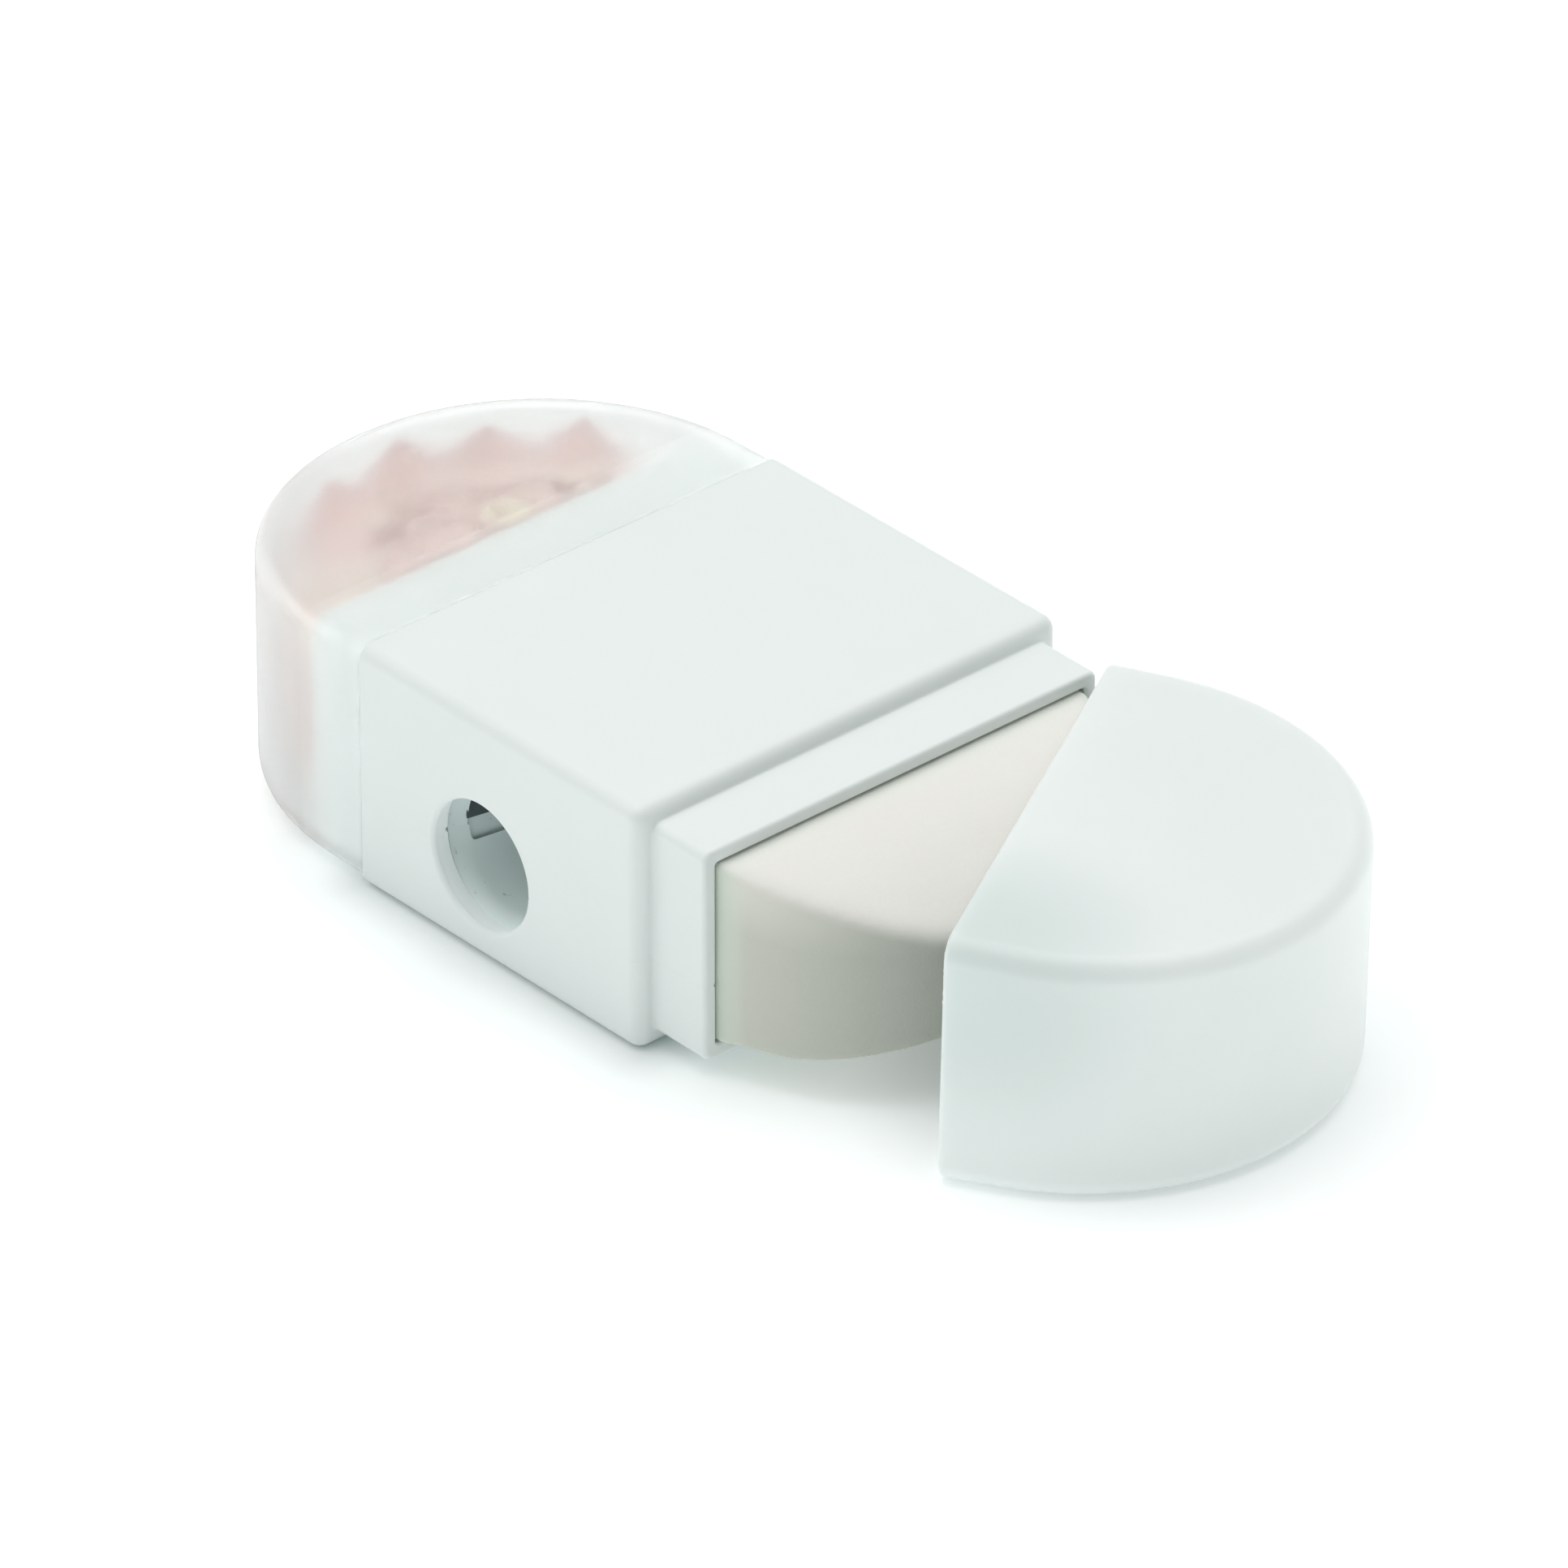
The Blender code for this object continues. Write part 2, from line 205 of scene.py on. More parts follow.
spigot_corner = Vector((0.0, spigot_half, spigot_rise))
right_spigot = add_block(
    "right_spigot", along(half_length - spigot_root) - spigot_corner, along(shell_high.x) + spigot_corner
)
edit(right_spigot)
round_spigot(shell_high.x)
leave()
combine(housing, right_spigot, "UNION")
edit(housing)
pick("EDGE", lambda edge: sharp(edge) and all_at(edge, X, half_length))
bevel(spigot_fillet, 3)
leave()

left_spigot = add_block(
    "left_spigot", along(-half_length) - spigot_corner, along(-half_length + spigot_root) + spigot_corner
)
edit(left_spigot)
pick("FACE", facing(-1, 0, 0))
last_half = spigot_half
last_rise = spigot_rise
for advance, wider, higher in left_stations:
    extrude(-advance, 0.0, 0.0)
    next_half = spigot_half + wider
    next_rise = spigot_rise + higher
    bpy.ops.transform.resize(
        value=(1.0, next_half / last_half, next_rise / last_rise), center_override=along(0.0)
    )
    last_half = next_half
    last_rise = next_rise
round_spigot(shell_low.x)
leave()
combine(housing, left_spigot, "UNION")

# Hollows of the housing: the shavings chamber, the eraser's socket, and a pocket that seats the insert
# in the floor. The insert is a collar at the pencil's end, then a wedge whose side follows the cone.
insert_low, insert_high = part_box("sharpener_insert")
eraser_low, eraser_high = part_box("eraser")
inner_half = 14.0 * MM
inner_rise = 6.0 * MM
socket_edge = 0.2 * MM
socket_mouth = 0.22 * MM
wall_gap = 0.3 * MM
overcut = 2.0 * MM
chamber_end = insert_high.x + wall_gap
socket_end = eraser_low.x - wall_gap
hole_shift = 0.35 * MM
hole_x = (insert_low.x + insert_high.x) / 2 + hole_shift
bore_radius = 3.8 * MM
insert_front = -inner_half
collar_end = insert_low.y + 0.2 * MM
cone_angle = math.radians(11.3)
seat_depth = 0.15 * MM
seat_x = hole_x - bore_radius + seat_depth
pocket_gap = 0.2 * MM
pocket_floor = insert_low.z - wall_gap
pocket_top = middle - inner_rise + overcut


def seat_at(y):
    """Where the insert's sloping side stands, just inside the surface of the cone."""
    return seat_x + math.tan(cone_angle) * (y - collar_end)


def add_insert_block(name, gap, low, high):
    """The insert's outline, grown by a gap except at the pencil's end, between two heights."""
    start = collar_end + gap
    finish = insert_high.y + gap
    side = seat_at(start) - gap / math.cos(cone_angle)
    block = add_block(name, (side, start, low), (insert_high.x + gap, finish, high))
    edit(block)
    pick("VERT", lambda vert: near(vert.co.x, side) and near(vert.co.y, finish))
    bpy.ops.transform.translate(value=(seat_at(finish) - seat_at(start), 0.0, 0.0))
    pick("FACE", facing(0, -1, 0))
    extrude(0.0, insert_front - start, 0.0)
    pick("FACE", facing(-1, 0, 0))
    extrude(insert_low.x - gap - side, 0.0, 0.0)
    leave()
    return block


inner_corner = Vector((0.0, inner_half, inner_rise))
chamber = add_block(
    "chamber", along(shell_low.x - overcut) - inner_corner, along(chamber_end) + inner_corner
)
combine(housing, chamber, "DIFFERENCE")
socket = add_block("socket", along(socket_end) - inner_corner, along(shell_high.x + overcut) + inner_corner)
edit(socket)
pick("EDGE", lambda edge: runs_along(edge, X))
bevel(socket_edge, 4)
leave()
combine(housing, socket, "DIFFERENCE")
edit(housing)
pick("EDGE", lambda edge: sharp(edge) and all_at(edge, X, shell_high.x))
bevel(socket_mouth, 4)
leave()
combine(housing, add_insert_block("pocket", pocket_gap, pocket_floor, pocket_top), "DIFFERENCE")

# Pencil hole, with a rounded mouth. Where the seam meets the hole and the socket, the two moulds
# leave a small nick.
shell_gap = 0.1 * MM
seam = shell_low.z - shell_gap
hole_z = seam + 0.15 * MM
hole_centre = (hole_x, 0.0, hole_z)
hole_radius = 4.05 * MM
hole_edge = 0.3 * MM
hole_back_radius = 4.4 * MM
hole_back = -half_width + 1.4 * MM
nose_radius = 4.85 * MM
nose_gap = 0.1 * MM
hole_steps = 96
mouth_steps = 8
left_nick = 0.2 * MM
right_nick = 0.12 * MM
right_nick_reach = hole_radius + 0.1 * MM
hole_nick_length = 0.5 * MM
socket_nick = 0.22 * MM
socket_nick_length = 2.0 * MM


def draw_line(name, start, steps):
    """A line from start through each step in turn, left open in edit mode."""
    bpy.ops.object.select_all(action="DESELECT")
    bpy.ops.mesh.primitive_plane_add(size=MM)
    line = bpy.context.object
    line.name = name
    edit(line)
    bpy.ops.mesh.merge(type="CENTER")
    bpy.ops.transform.translate(value=start)
    for step in steps:
        bpy.ops.mesh.extrude_vertices_move(TRANSFORM_OT_translate={"value": step})
    return line


def lathe(name, profile, centre, steps):
    """Turns a profile of (place along Y, radius) points about the line through centre along Y."""
    points = [Vector((radius, place, 0.0)) for place, radius in profile]
    moves = [after - before for before, after in zip(points, points[1:])]
    solid = draw_line(name, Vector(centre) + points[0], moves)
    bpy.ops.mesh.select_all(action="SELECT")
    bpy.ops.mesh.spin(steps=steps, angle=math.tau, center=centre, axis=(0.0, 1.0, 0.0))
    bpy.ops.mesh.select_all(action="SELECT")
    bpy.ops.mesh.remove_doubles(threshold=TINY)
    bpy.ops.mesh.normals_make_consistent(inside=False)
    leave()
    return solid


def cut_nick(place, half, length, turn):
    """Cuts the housing with a square bar that lies with an edge up."""
    bpy.ops.object.select_all(action="DESELECT")
    bpy.ops.mesh.primitive_cylinder_add(vertices=4, radius=half, depth=length, location=place, rotation=turn)
    bar = bpy.context.object
    settle(bar)
    combine(housing, bar, "DIFFERENCE")


hole_profile = [(-half_width - overcut, 0.0), (-half_width - overcut, hole_radius + hole_edge)]
for number in range(mouth_steps + 1):
    angle = math.pi / 2 * number / mouth_steps
    depth = hole_edge * (1 - math.cos(angle))
    flare = hole_edge * (1 - math.sin(angle))
    hole_profile.append((-half_width + depth, hole_radius + flare))
hole_profile += [
    (hole_back, hole_back_radius),
    (hole_back, nose_radius + nose_gap),
    (-inner_half + nose_gap, nose_radius + nose_gap),
    (-inner_half + nose_gap, 0.0),
]
combine(housing, lathe("hole", hole_profile, hole_centre, hole_steps), "DIFFERENCE")
lying_along_y = (math.pi / 2, 0.0, 0.0)
lying_along_x = (0.0, math.pi / 2, 0.0)
cut_nick((hole_x - hole_back_radius, hole_back, seam), left_nick, hole_nick_length, lying_along_y)
cut_nick((hole_x + right_nick_reach, -half_width, seam), right_nick, hole_nick_length, lying_along_y)
for side in (-inner_half, inner_half):
    cut_nick((shell_high.x, side, seam), socket_nick, socket_nick_length, lying_along_x)

# Seam and finish of the shells. The plastic is a satin white with the mould's fine texture, and a
# thin flash stands on the upper shell's edge along the seam. A painted glow on the wall of the pencil
# hole stands in for the light that the thin wall lets through.
seam_gap = 0.006 * MM
flash_height = 0.15 * MM
flash_reach = 0.012 * MM
white_light = (0.845, 0.88, 0.868)
white_shade = (0.81, 0.852, 0.838)
cloud_size = 7.0 * MM
mould_grain = 0.25 * MM
mould_depth = 0.006 * MM
black = (0.0, 0.0, 0.0)
# Colour of the painted glow on the pencil hole's wall, which stands in for light through the thin wall.
hole_painted_glow = (0.93, 1.0, 0.99)
hole_glow_radius = 4.42 * MM
hole_glow_fade = 0.18 * MM
hole_glow_start = 0.5 * MM
hole_glow_end = hole_back + 0.1 * MM
hole_glow_tail = 0.1 * MM


class Wire:
    """A shader socket. Sums on it add Math nodes, and make() adds any other node to its tree."""

    def __init__(self, tree, socket=None):
        self.tree = tree
        self.socket = socket

    def make(self, kind, settings=None, values=None, output=0):
        """Adds a node with its settings, fills its sockets and gives one of its outputs."""
        node = self.tree.nodes.new(kind)
        for name, value in (settings or {}).items():
            if name == "stops":
                while len(node.color_ramp.elements) < len(value):
                    node.color_ramp.elements.new(1.0)
                for element, (place, colour) in zip(node.color_ramp.elements, value):
                    element.position = place
                    element.color = (*colour, 1.0)
            else:
                setattr(node, name, value)
        self.fill(node, values or {})
        return Wire(self.tree, node.outputs[output])

    def fill(self, node, values):
        """Sets or links sockets by number, or by a name that the node's settings leave in use."""
        for name, value in values.items():
            if isinstance(name, int):
                socket = node.inputs[name]
            else:
                socket = next(one for one in node.inputs if one.name == name and one.enabled)
            if isinstance(value, Wire):
                self.tree.links.new(value.socket, socket)
            elif socket.type == "RGBA":
                socket.default_value = (*value, 1.0)
            else:
                socket.default_value = value

    def work_out(self, operation, first, second):
        return self.make("ShaderNodeMath", {"operation": operation}, {0: first, 1: second})

    def __add__(self, other):
        return self.work_out("ADD", self, other)

    def __sub__(self, other):
        return self.work_out("SUBTRACT", self, other)

    def __rsub__(self, other):
        return self.work_out("SUBTRACT", other, self)

    def __mul__(self, other):
        return self.work_out("MULTIPLY", self, other)

    __radd__ = __add__
    __rmul__ = __mul__


def start_material(name):
    """A new material, with its shader and the object's own coordinates."""
    material = bpy.data.materials.new(name)
    material.use_nodes = True
    shader = material.node_tree.nodes["Principled BSDF"]
    place = Wire(material.node_tree).make("ShaderNodeTexCoord", output="Object")
    return material, shader, place


def noise(place, size, detail=2.0):
    """Soft noise, from 0 to 1, with marks of about the given size."""
    values = {"Vector": place, "Scale": 1.0 / size, "Detail": detail}
    return place.make("ShaderNodeTexNoise", None, values)


def mix_colour(factor, first, second):
    values = {"Factor": factor, "A": first, "B": second}
    return factor.make("ShaderNodeMix", {"data_type": "RGBA"}, values, "Result")


def fade(value, start, end, first=0.0, last=1.0, curve="LINEAR"):
    """Goes from first to last while the value goes from start to end."""
    values = {"Value": value, "From Min": start, "From Max": end, "To Min": first, "To Max": last}
    return value.make("ShaderNodeMapRange", {"interpolation_type": curve}, values)


def part_of(vector, axis):
    return vector.make("ShaderNodeSeparateXYZ", None, {0: vector}, axis)


def on_vectors(operation, first, second=None, output="Vector"):
    values = {0: first} if second is None else {0: first, 1: second}
    return first.make("ShaderNodeVectorMath", {"operation": operation}, values, output)


def bumps(height, depth):
    return height.make("ShaderNodeBump", None, {"Height": height, "Distance": depth})


def white_plastic(name, light, shade, roughness):
    """Satin moulded plastic: faint clouding, and the fine texture of the mould."""
    material, shader, place = start_material(name)
    cloud = noise(place, cloud_size, 3.0)
    fine = noise(place, mould_grain)
    tone = mix_colour(cloud, shade, light)
    finish = {
        "Base Color": tone,
        "Roughness": fine * 0.1 + (roughness - 0.05),
        "IOR": 1.46,
        "Normal": bumps(fine + cloud * 0.5, mould_depth),
    }
    place.fill(shader, finish)
    return material, shader, place, tone


def housing_plastic(name):
    """White plastic with a painted glow on the pencil hole's wall, from its mouth to its back."""
    material, shader, place, tone = white_plastic(name, white_light, white_shade, 0.36)
    across_hole = on_vectors("MULTIPLY", on_vectors("SUBTRACT", place, hole_centre), (1.0, 0.0, 1.0))
    radius = on_vectors("LENGTH", across_hole, output="Value")
    y = part_of(place, "Y")
    near_axis = fade(radius, hole_glow_radius, hole_glow_radius + hole_glow_fade, 1.0, 0.0)
    behind = fade(y, -half_width, -half_width + hole_glow_start)
    before = fade(y, hole_glow_end + hole_glow_tail, hole_glow_end)
    # Painted light: the hole's wall glows between its mouth and its back.
    glow = mix_colour(near_axis * behind * before, black, hole_painted_glow)
    place.fill(shader, {"Emission Color": glow, "Emission Strength": 0.17})
    return material


def even_normals(piece, angle=30.0):
    """Smooth shading that leaves flat faces flat."""
    choose(piece)
    bpy.ops.object.shade_smooth_by_angle(angle=math.radians(angle))
    weighted = piece.modifiers.new("even", "WEIGHTED_NORMAL")
    weighted.keep_sharp = True
    apply_modifiers(piece)


def finish_piece(piece, material, body, slot, *nodes):
    """Gives a piece its material and its body, and hides the parts of the frame that it stands for. The slot
    is not used.
    """
    piece.data.materials.clear()
    piece.data.materials.append(material)
    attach(piece, body)
    if nodes:
        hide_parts(*nodes)


def copy_piece(piece, name):
    twin = piece.copy()
    twin.data = piece.data.copy()
    twin.name = name
    bpy.context.scene.collection.objects.link(twin)
    return twin


def part_at_seam(name, low, high):
    """The housing between two heights, closed where it is cut."""
    shell = copy_piece(housing, name)
    corner = Vector((2 * half_width, 2 * half_width, 0.0))
    slab = add_block("slab", Vector((0.0, 0.0, low)) - corner, Vector((0.0, 0.0, high)) + corner)
    combine(shell, slab, "INTERSECT")
    return shell


upper_shell = part_at_seam("housing_top", seam + seam_gap / 2, top + overcut)
lower_shell = part_at_seam("housing_base", -overcut, seam - seam_gap / 2)
bpy.data.objects.remove(housing, do_unlink=True)
edit(upper_shell)
bpy.ops.mesh.bisect(plane_co=(0.0, 0.0, seam + flash_height), plane_no=(0.0, 0.0, 1.0))
pick("VERT", lambda vert: vert.co.z < seam + 2 * TINY + seam_gap and near(abs(vert.co.y), half_width))
bpy.ops.transform.resize(
    value=(1.0, (half_width + flash_reach) / half_width, 1.0), center_override=(0.0, 0.0, seam)
)
leave()
housing_white = housing_plastic("housing white")
for shell, node in ((upper_shell, "upper_shell"), (lower_shell, "lower_shell")):
    even_normals(shell)
    finish_piece(shell, housing_white, "housing", "housing_white", node)

# Sharpener insert. A white moulded block with the tapered bore that centres the pencil, dropped into
# the floor's pocket and held down by the upper shell. Its bore opens through the sloping side, where
# the blade cuts and a guide stands under it, and its nose lies in the housing's front wall.
tip_radius = 0.6 * MM
insert_edge = 0.25 * MM
cone_end = collar_end + (bore_radius - tip_radius) / math.tan(cone_angle)
nose_front = hole_back + nose_gap
nose_back = insert_front + nose_gap
nose_bore = hole_back_radius + nose_gap
seat_place = Vector((seat_at(collar_end), collar_end, 0.0))
seat_turn = math.pi / 2 - cone_angle
seat_length = (insert_high.y - collar_end) / math.cos(cone_angle)
blade_low, blade_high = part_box("blade")
blade_edge = blade_low.z + 0.5 * MM
edge_bevel = 1.4 * MM
shank_radius = 1.1 * MM
shank_length = 4.5 * MM
screw_along = seat_length / 2 - 0.1 * MM
screw_height = (blade_low.z + edge_bevel + blade_high.z) / 2
screw_centre = (screw_along, 0.0, screw_height)
window_half = 1.0 * MM
window_low = (-0.1 * MM, -window_half, hole_z)
window_high = (seat_length - 1.5 * MM, window_half, hole_z + 1.9 * MM)
guide_gap = 0.3 * MM
guide_out = guide_gap + 0.5 * MM
guide_low = insert_low.z + 1.0 * MM
guide_high = blade_edge - 0.05 * MM
guide_inset = 0.05 * MM
foot_low = (guide_inset, -0.2 * MM, guide_low + guide_inset)
foot_high = (seat_length - guide_inset, guide_out - guide_inset, guide_low + 1.0 * MM)
weld_reach = 0.001 * MM
insert_light = (0.71, 0.785, 0.775)
insert_shade = (0.67, 0.745, 0.735)
dust_size = 0.45 * MM
dust_grey = (0.16, 0.18, 0.19)
# Heights and fade of the painted glow low in the front of the bore.
bore_glow_high = hole_z - 1.4 * MM
bore_glow_low = hole_z - 3.9 * MM
bore_glow_fade = 1.0 * MM


def add_rod(name, start, end, radius, centre, steps):
    """A round rod along Y."""
    return lathe(name, [(start, 0.0), (start, radius), (end, radius), (end, 0.0)], centre, steps)


def place_on_seat(piece):
    """Takes a piece from the blade's own axes (along the edge, out of the seat, up) to the seat."""
    piece.location = seat_place
    piece.rotation_euler = (0.0, 0.0, seat_turn)
    settle(piece)


def insert_plastic(name):
    """White plastic with specks of pencil dust on it, and a painted glow low in the front of the bore."""
    material, shader, place, tone = white_plastic(name, insert_light, insert_shade, 0.5)
    dust = fade(noise(place, dust_size, 1.0), 0.71, 0.8)
    # Painted light: the front of the bore glows low down, in the colour of the hole's painted glow.
    low = fade(part_of(place, "Z"), bore_glow_high, bore_glow_low)
    before = fade(part_of(place, "Y"), collar_end, collar_end - bore_glow_fade)
    finish = {
        "Base Color": mix_colour(dust * 0.5, tone, dust_grey),
        "Emission Color": mix_colour(low * before, black, hole_painted_glow),
        "Emission Strength": 0.16,
    }
    place.fill(shader, finish)
    return material


insert = add_insert_block("bored_insert", 0.0, insert_low.z, insert_high.z)
edit(insert)
pick("EDGE", sharp)
bevel(insert_edge, 3)
leave()
combine(insert, add_rod("nose", nose_front, nose_back, nose_radius, hole_centre, hole_steps), "UNION")
bore_profile = [
    (insert_front - overcut, 0.0),
    (insert_front - overcut, nose_bore),
    (nose_front, nose_bore),
    (collar_end, bore_radius),
    (cone_end, tip_radius),
    (cone_end, 0.0),
]
combine(insert, lathe("bore", bore_profile, hole_centre, hole_steps), "DIFFERENCE")
screw_hole = add_rod("screw_hole", -shank_length, overcut, shank_radius, screw_centre, steps=32)
window = add_block("window", window_low, window_high)
guide_foot = add_block("guide_foot", foot_low, foot_high)
guide = add_block("guide", (0.0, guide_gap, guide_low), (seat_length, guide_out, guide_high))
for tool, operation in (
    (screw_hole, "DIFFERENCE"),
    (window, "DIFFERENCE"),
    (guide_foot, "UNION"),
    (guide, "UNION"),
):
    place_on_seat(tool)
    combine(insert, tool, operation)
edit(insert)
bpy.ops.mesh.remove_doubles(threshold=weld_reach)
leave()
even_normals(insert)
finish_piece(insert, insert_plastic("insert white"), "housing", "insert_white", "sharpener_insert")

# Blade. A strip of ground steel with one sharpened edge, screwed flat on the insert's sloping side so
# that the edge stands just above the middle of the bore.
blade_start = -0.2 * MM
blade_end = seat_length - 0.5 * MM
blade_inner = 0.08 * MM
blade_outer = 0.7 * MM
blade_corner = 0.35 * MM
blade_hole_start = -1.0 * MM
blade_hole_radius = shank_radius + 0.15 * MM
blade_light = (0.17, 0.19, 0.198)
blade_shade = (0.1, 0.115, 0.12)
grinding_size = 0.08 * MM
grinding_depth = 0.004 * MM
blotch_size = 2.0 * MM


def ground_steel(name, light, shade, roughness, stretch):
    """Bare steel with fine grinding lines, which run along the axis that stretch draws out."""
    material, shader, place = start_material(name)
    lines = noise(on_vectors("MULTIPLY", place, stretch), grinding_size, 3.0)
    blotch = noise(place, blotch_size, 3.0)
    finish = {
        "Base Color": mix_colour(lines * 0.6 + blotch * 0.4, shade, light),
        "Metallic": 1.0,
        "Roughness": lines * 0.2 + (roughness - 0.1),
        "Normal": bumps(lines, grinding_depth),
    }
    place.fill(shader, finish)
    return material


blade = add_block(
    "cutting_blade", (blade_start, blade_inner, blade_edge), (blade_end, blade_outer, blade_high.z)
)
edit(blade)
pick("EDGE", lambda edge: all_at(edge, Y, blade_outer) and all_at(edge, Z, blade_edge))
bpy.ops.transform.translate(value=(0.0, 0.0, edge_bevel))
pick("EDGE", lambda edge: runs_along(edge, Y) and all(vert.co.z > screw_height for vert in edge.verts))
bevel(blade_corner, 3)
leave()
blade_hole = add_rod("blade_hole", blade_hole_start, overcut, blade_hole_radius, screw_centre, steps=48)
combine(blade, blade_hole, "DIFFERENCE")
place_on_seat(blade)
even_normals(blade)
blade_steel = ground_steel("blade steel", blade_light, blade_shade, 0.34, (1.0, 1.0, 0.06))
finish_piece(blade, blade_steel, "housing", "blade_steel", "blade")

# Blade screw. A plated steel screw with a slotted, slightly domed head, driven through the blade into
# the insert. Each point of the dome says how far below the head's top and inside its rim it lies.
head_radius = 2.1 * MM
head_height = 1.3 * MM
head_dome = [(0.5 * MM, 0.0), (0.3 * MM, 0.06 * MM), (0.15 * MM, 0.3 * MM), (0.04 * MM, 0.9 * MM)]
slot_half = 0.35 * MM
slot_depth = 0.6 * MM
head_under = blade_outer
head_top = head_under + head_height
screw_end = head_under - shank_length
screw_taper = 1.0 * MM
screw_point = 0.4 * MM
screw_radius = shank_radius - 0.04 * MM
screw_light = (0.62, 0.62, 0.59)
screw_shade = (0.48, 0.48, 0.46)
screw_profile = [
    (screw_end, 0.0),
    (screw_end, screw_point),
    (screw_end + screw_taper, screw_radius),
    (head_under, screw_radius),
    (head_under, head_radius),
]
screw_profile += [(head_top - below, head_radius - inside) for below, inside in head_dome]
screw_profile.append((head_top, 0.0))
screw = lathe("slotted_screw", screw_profile, screw_centre, steps=64)
slot_middle = Vector((screw_along, head_top, screw_height))
slot_corner = Vector((head_radius + overcut, slot_depth, slot_half))
combine(screw, add_block("slot", slot_middle - slot_corner, slot_middle + slot_corner), "DIFFERENCE")
place_on_seat(screw)
even_normals(screw)
screw_steel = ground_steel("screw steel", screw_light, screw_shade, 0.34, (1.0, 1.0, 1.0))
finish_piece(screw, screw_steel, "housing", "screw_steel", "blade_screw")

# Eraser. A half disc of cream rubber that thins towards its round end, moulded in two halves that leave
# a fine line round it, and pushed into the socket by hand. Its edges are crisp at the socket and worn
# round further out.
eraser_round_start = 15.2 * MM
crown_start = 17.8 * MM
crown_radius = 19.0 * MM
crown_steps = 10
crown_reach = eraser_high.x - crown_start
eraser_gap = 0.06 * MM
eraser_half = inner_half - eraser_gap
eraser_rise = inner_rise - eraser_gap
eraser_top = middle + eraser_rise
droop = math.radians(1.3)
droop_start = 14.0 * MM
eraser_voxel = 0.28 * MM
disc_steps = 192
even_passes = 2
worn_passes = 75
worn_start = shell_high.x + 0.2 * MM
worn_reach = 2.0 * MM
uneven_size = 6.0 * MM
uneven_depth = 0.1 * MM
uneven_level = 0.62
line_height = 0.12 * MM
line_reach = 0.05 * MM
# Reach of the painted light by the socket: paler and greener on the sides, greener on the faces.
painted_socket_light_reach = 2.0 * MM
# Reach of the painted shadow that darkens the sides towards the cap.
painted_cap_shadow_reach = 8.5 * MM
# Heights over which painted light makes the sides paler towards the top.
painted_top_light_start = eraser_top - 4.0 * MM
painted_top_light_end = eraser_top - 0.6 * MM
# Colours of the sides, darker than the faces as painted shade, and of the painted light and shadow on them;
# then the faces.
side_shade = (0.61, 0.605, 0.545)
side_light = (0.65, 0.66, 0.60)
side_painted_top_light = (0.80, 0.79, 0.725)
side_painted_cap_shadow = (0.46, 0.485, 0.425)
side_painted_socket_light = (0.72, 0.81, 0.70)
face_shade = (0.84, 0.80, 0.765)
face_light = (0.87, 0.865, 0.825)
face_painted_socket_light = (0.82, 0.87, 0.80)
rubber_speck = (0.70, 0.67, 0.62)


def tilt(centre, angle):
    """Turns what is selected about a line along Y through centre, so that its +X end goes down."""
    bpy.ops.transform.rotate(value=-angle, orient_axis="Y", orient_type="GLOBAL", center_override=centre)


def half_disc(name, centre, radius, height, start):
    """An upright half cylinder with straight sides that run back to start."""
    bpy.ops.object.select_all(action="DESELECT")
    bpy.ops.mesh.primitive_cylinder_add(
        vertices=disc_steps, radius=radius, depth=height, location=along(centre)
    )
    disc = bpy.context.object
    disc.name = name
    settle(disc)
    edit(disc)
    bpy.ops.mesh.bisect(plane_co=along(centre), plane_no=(1.0, 0.0, 0.0), use_fill=True, clear_inner=True)
    pick("FACE", facing(-1, 0, 0))
    bpy.ops.mesh.dissolve_faces()
    extrude(start - centre, 0.0, 0.0)
    leave()
    return disc


def eraser_rubber(name):
    """Matt cream rubber with fine specks. Painted shade greys its sides and darkens them towards the cap;
    painted light pales them towards the top, and tints the rubber green by the socket.
    """
    material, shader, place = start_material(name)
    cloud = noise(place, 6.0 * MM, 4.0)
    speck = noise(place, 0.18 * MM, 3.0)
    x = part_of(place, "X")
    normal = place.make("ShaderNodeNewGeometry", output="Normal")
    upward = fade(part_of(normal, "Z"), 0.2, 0.85)
    painted_socket_light = fade(x, shell_high.x, shell_high.x + painted_socket_light_reach, 1.0, 0.0)
    painted_cap_shadow = fade(x, shell_high.x, shell_high.x + painted_cap_shadow_reach)
    painted_top_light = fade(part_of(place, "Z"), painted_top_light_start, painted_top_light_end)
    # Painted shade: the sides are darker than the faces that look up.
    sides = mix_colour(cloud, side_shade, side_light)
    # Painted light: the sides grow paler towards the top.
    sides = mix_colour(painted_top_light, sides, side_painted_top_light)
    # Painted shadow: the sides darken towards the cap.
    sides = mix_colour(painted_cap_shadow * 0.8 * (1.0 - painted_top_light * 0.5), sides, side_painted_cap_shadow)
    # Painted light: the sides are paler and greener by the socket.
    sides = mix_colour(painted_socket_light * 0.85, sides, side_painted_socket_light)
    faces = mix_colour(cloud, face_shade, face_light)
    # Painted light: the faces are greener by the socket.
    faces = mix_colour(painted_socket_light * 0.6, faces, face_painted_socket_light)
    finish = {
        "Base Color": mix_colour(speck * 0.2, mix_colour(upward, sides, faces), rubber_speck),
        "Roughness": cloud * 0.1 + 0.75,
        "Specular IOR Level": 0.3,
        "Normal": bumps(speck + cloud, 0.02 * MM),
    }
    place.fill(shader, finish)
    return material


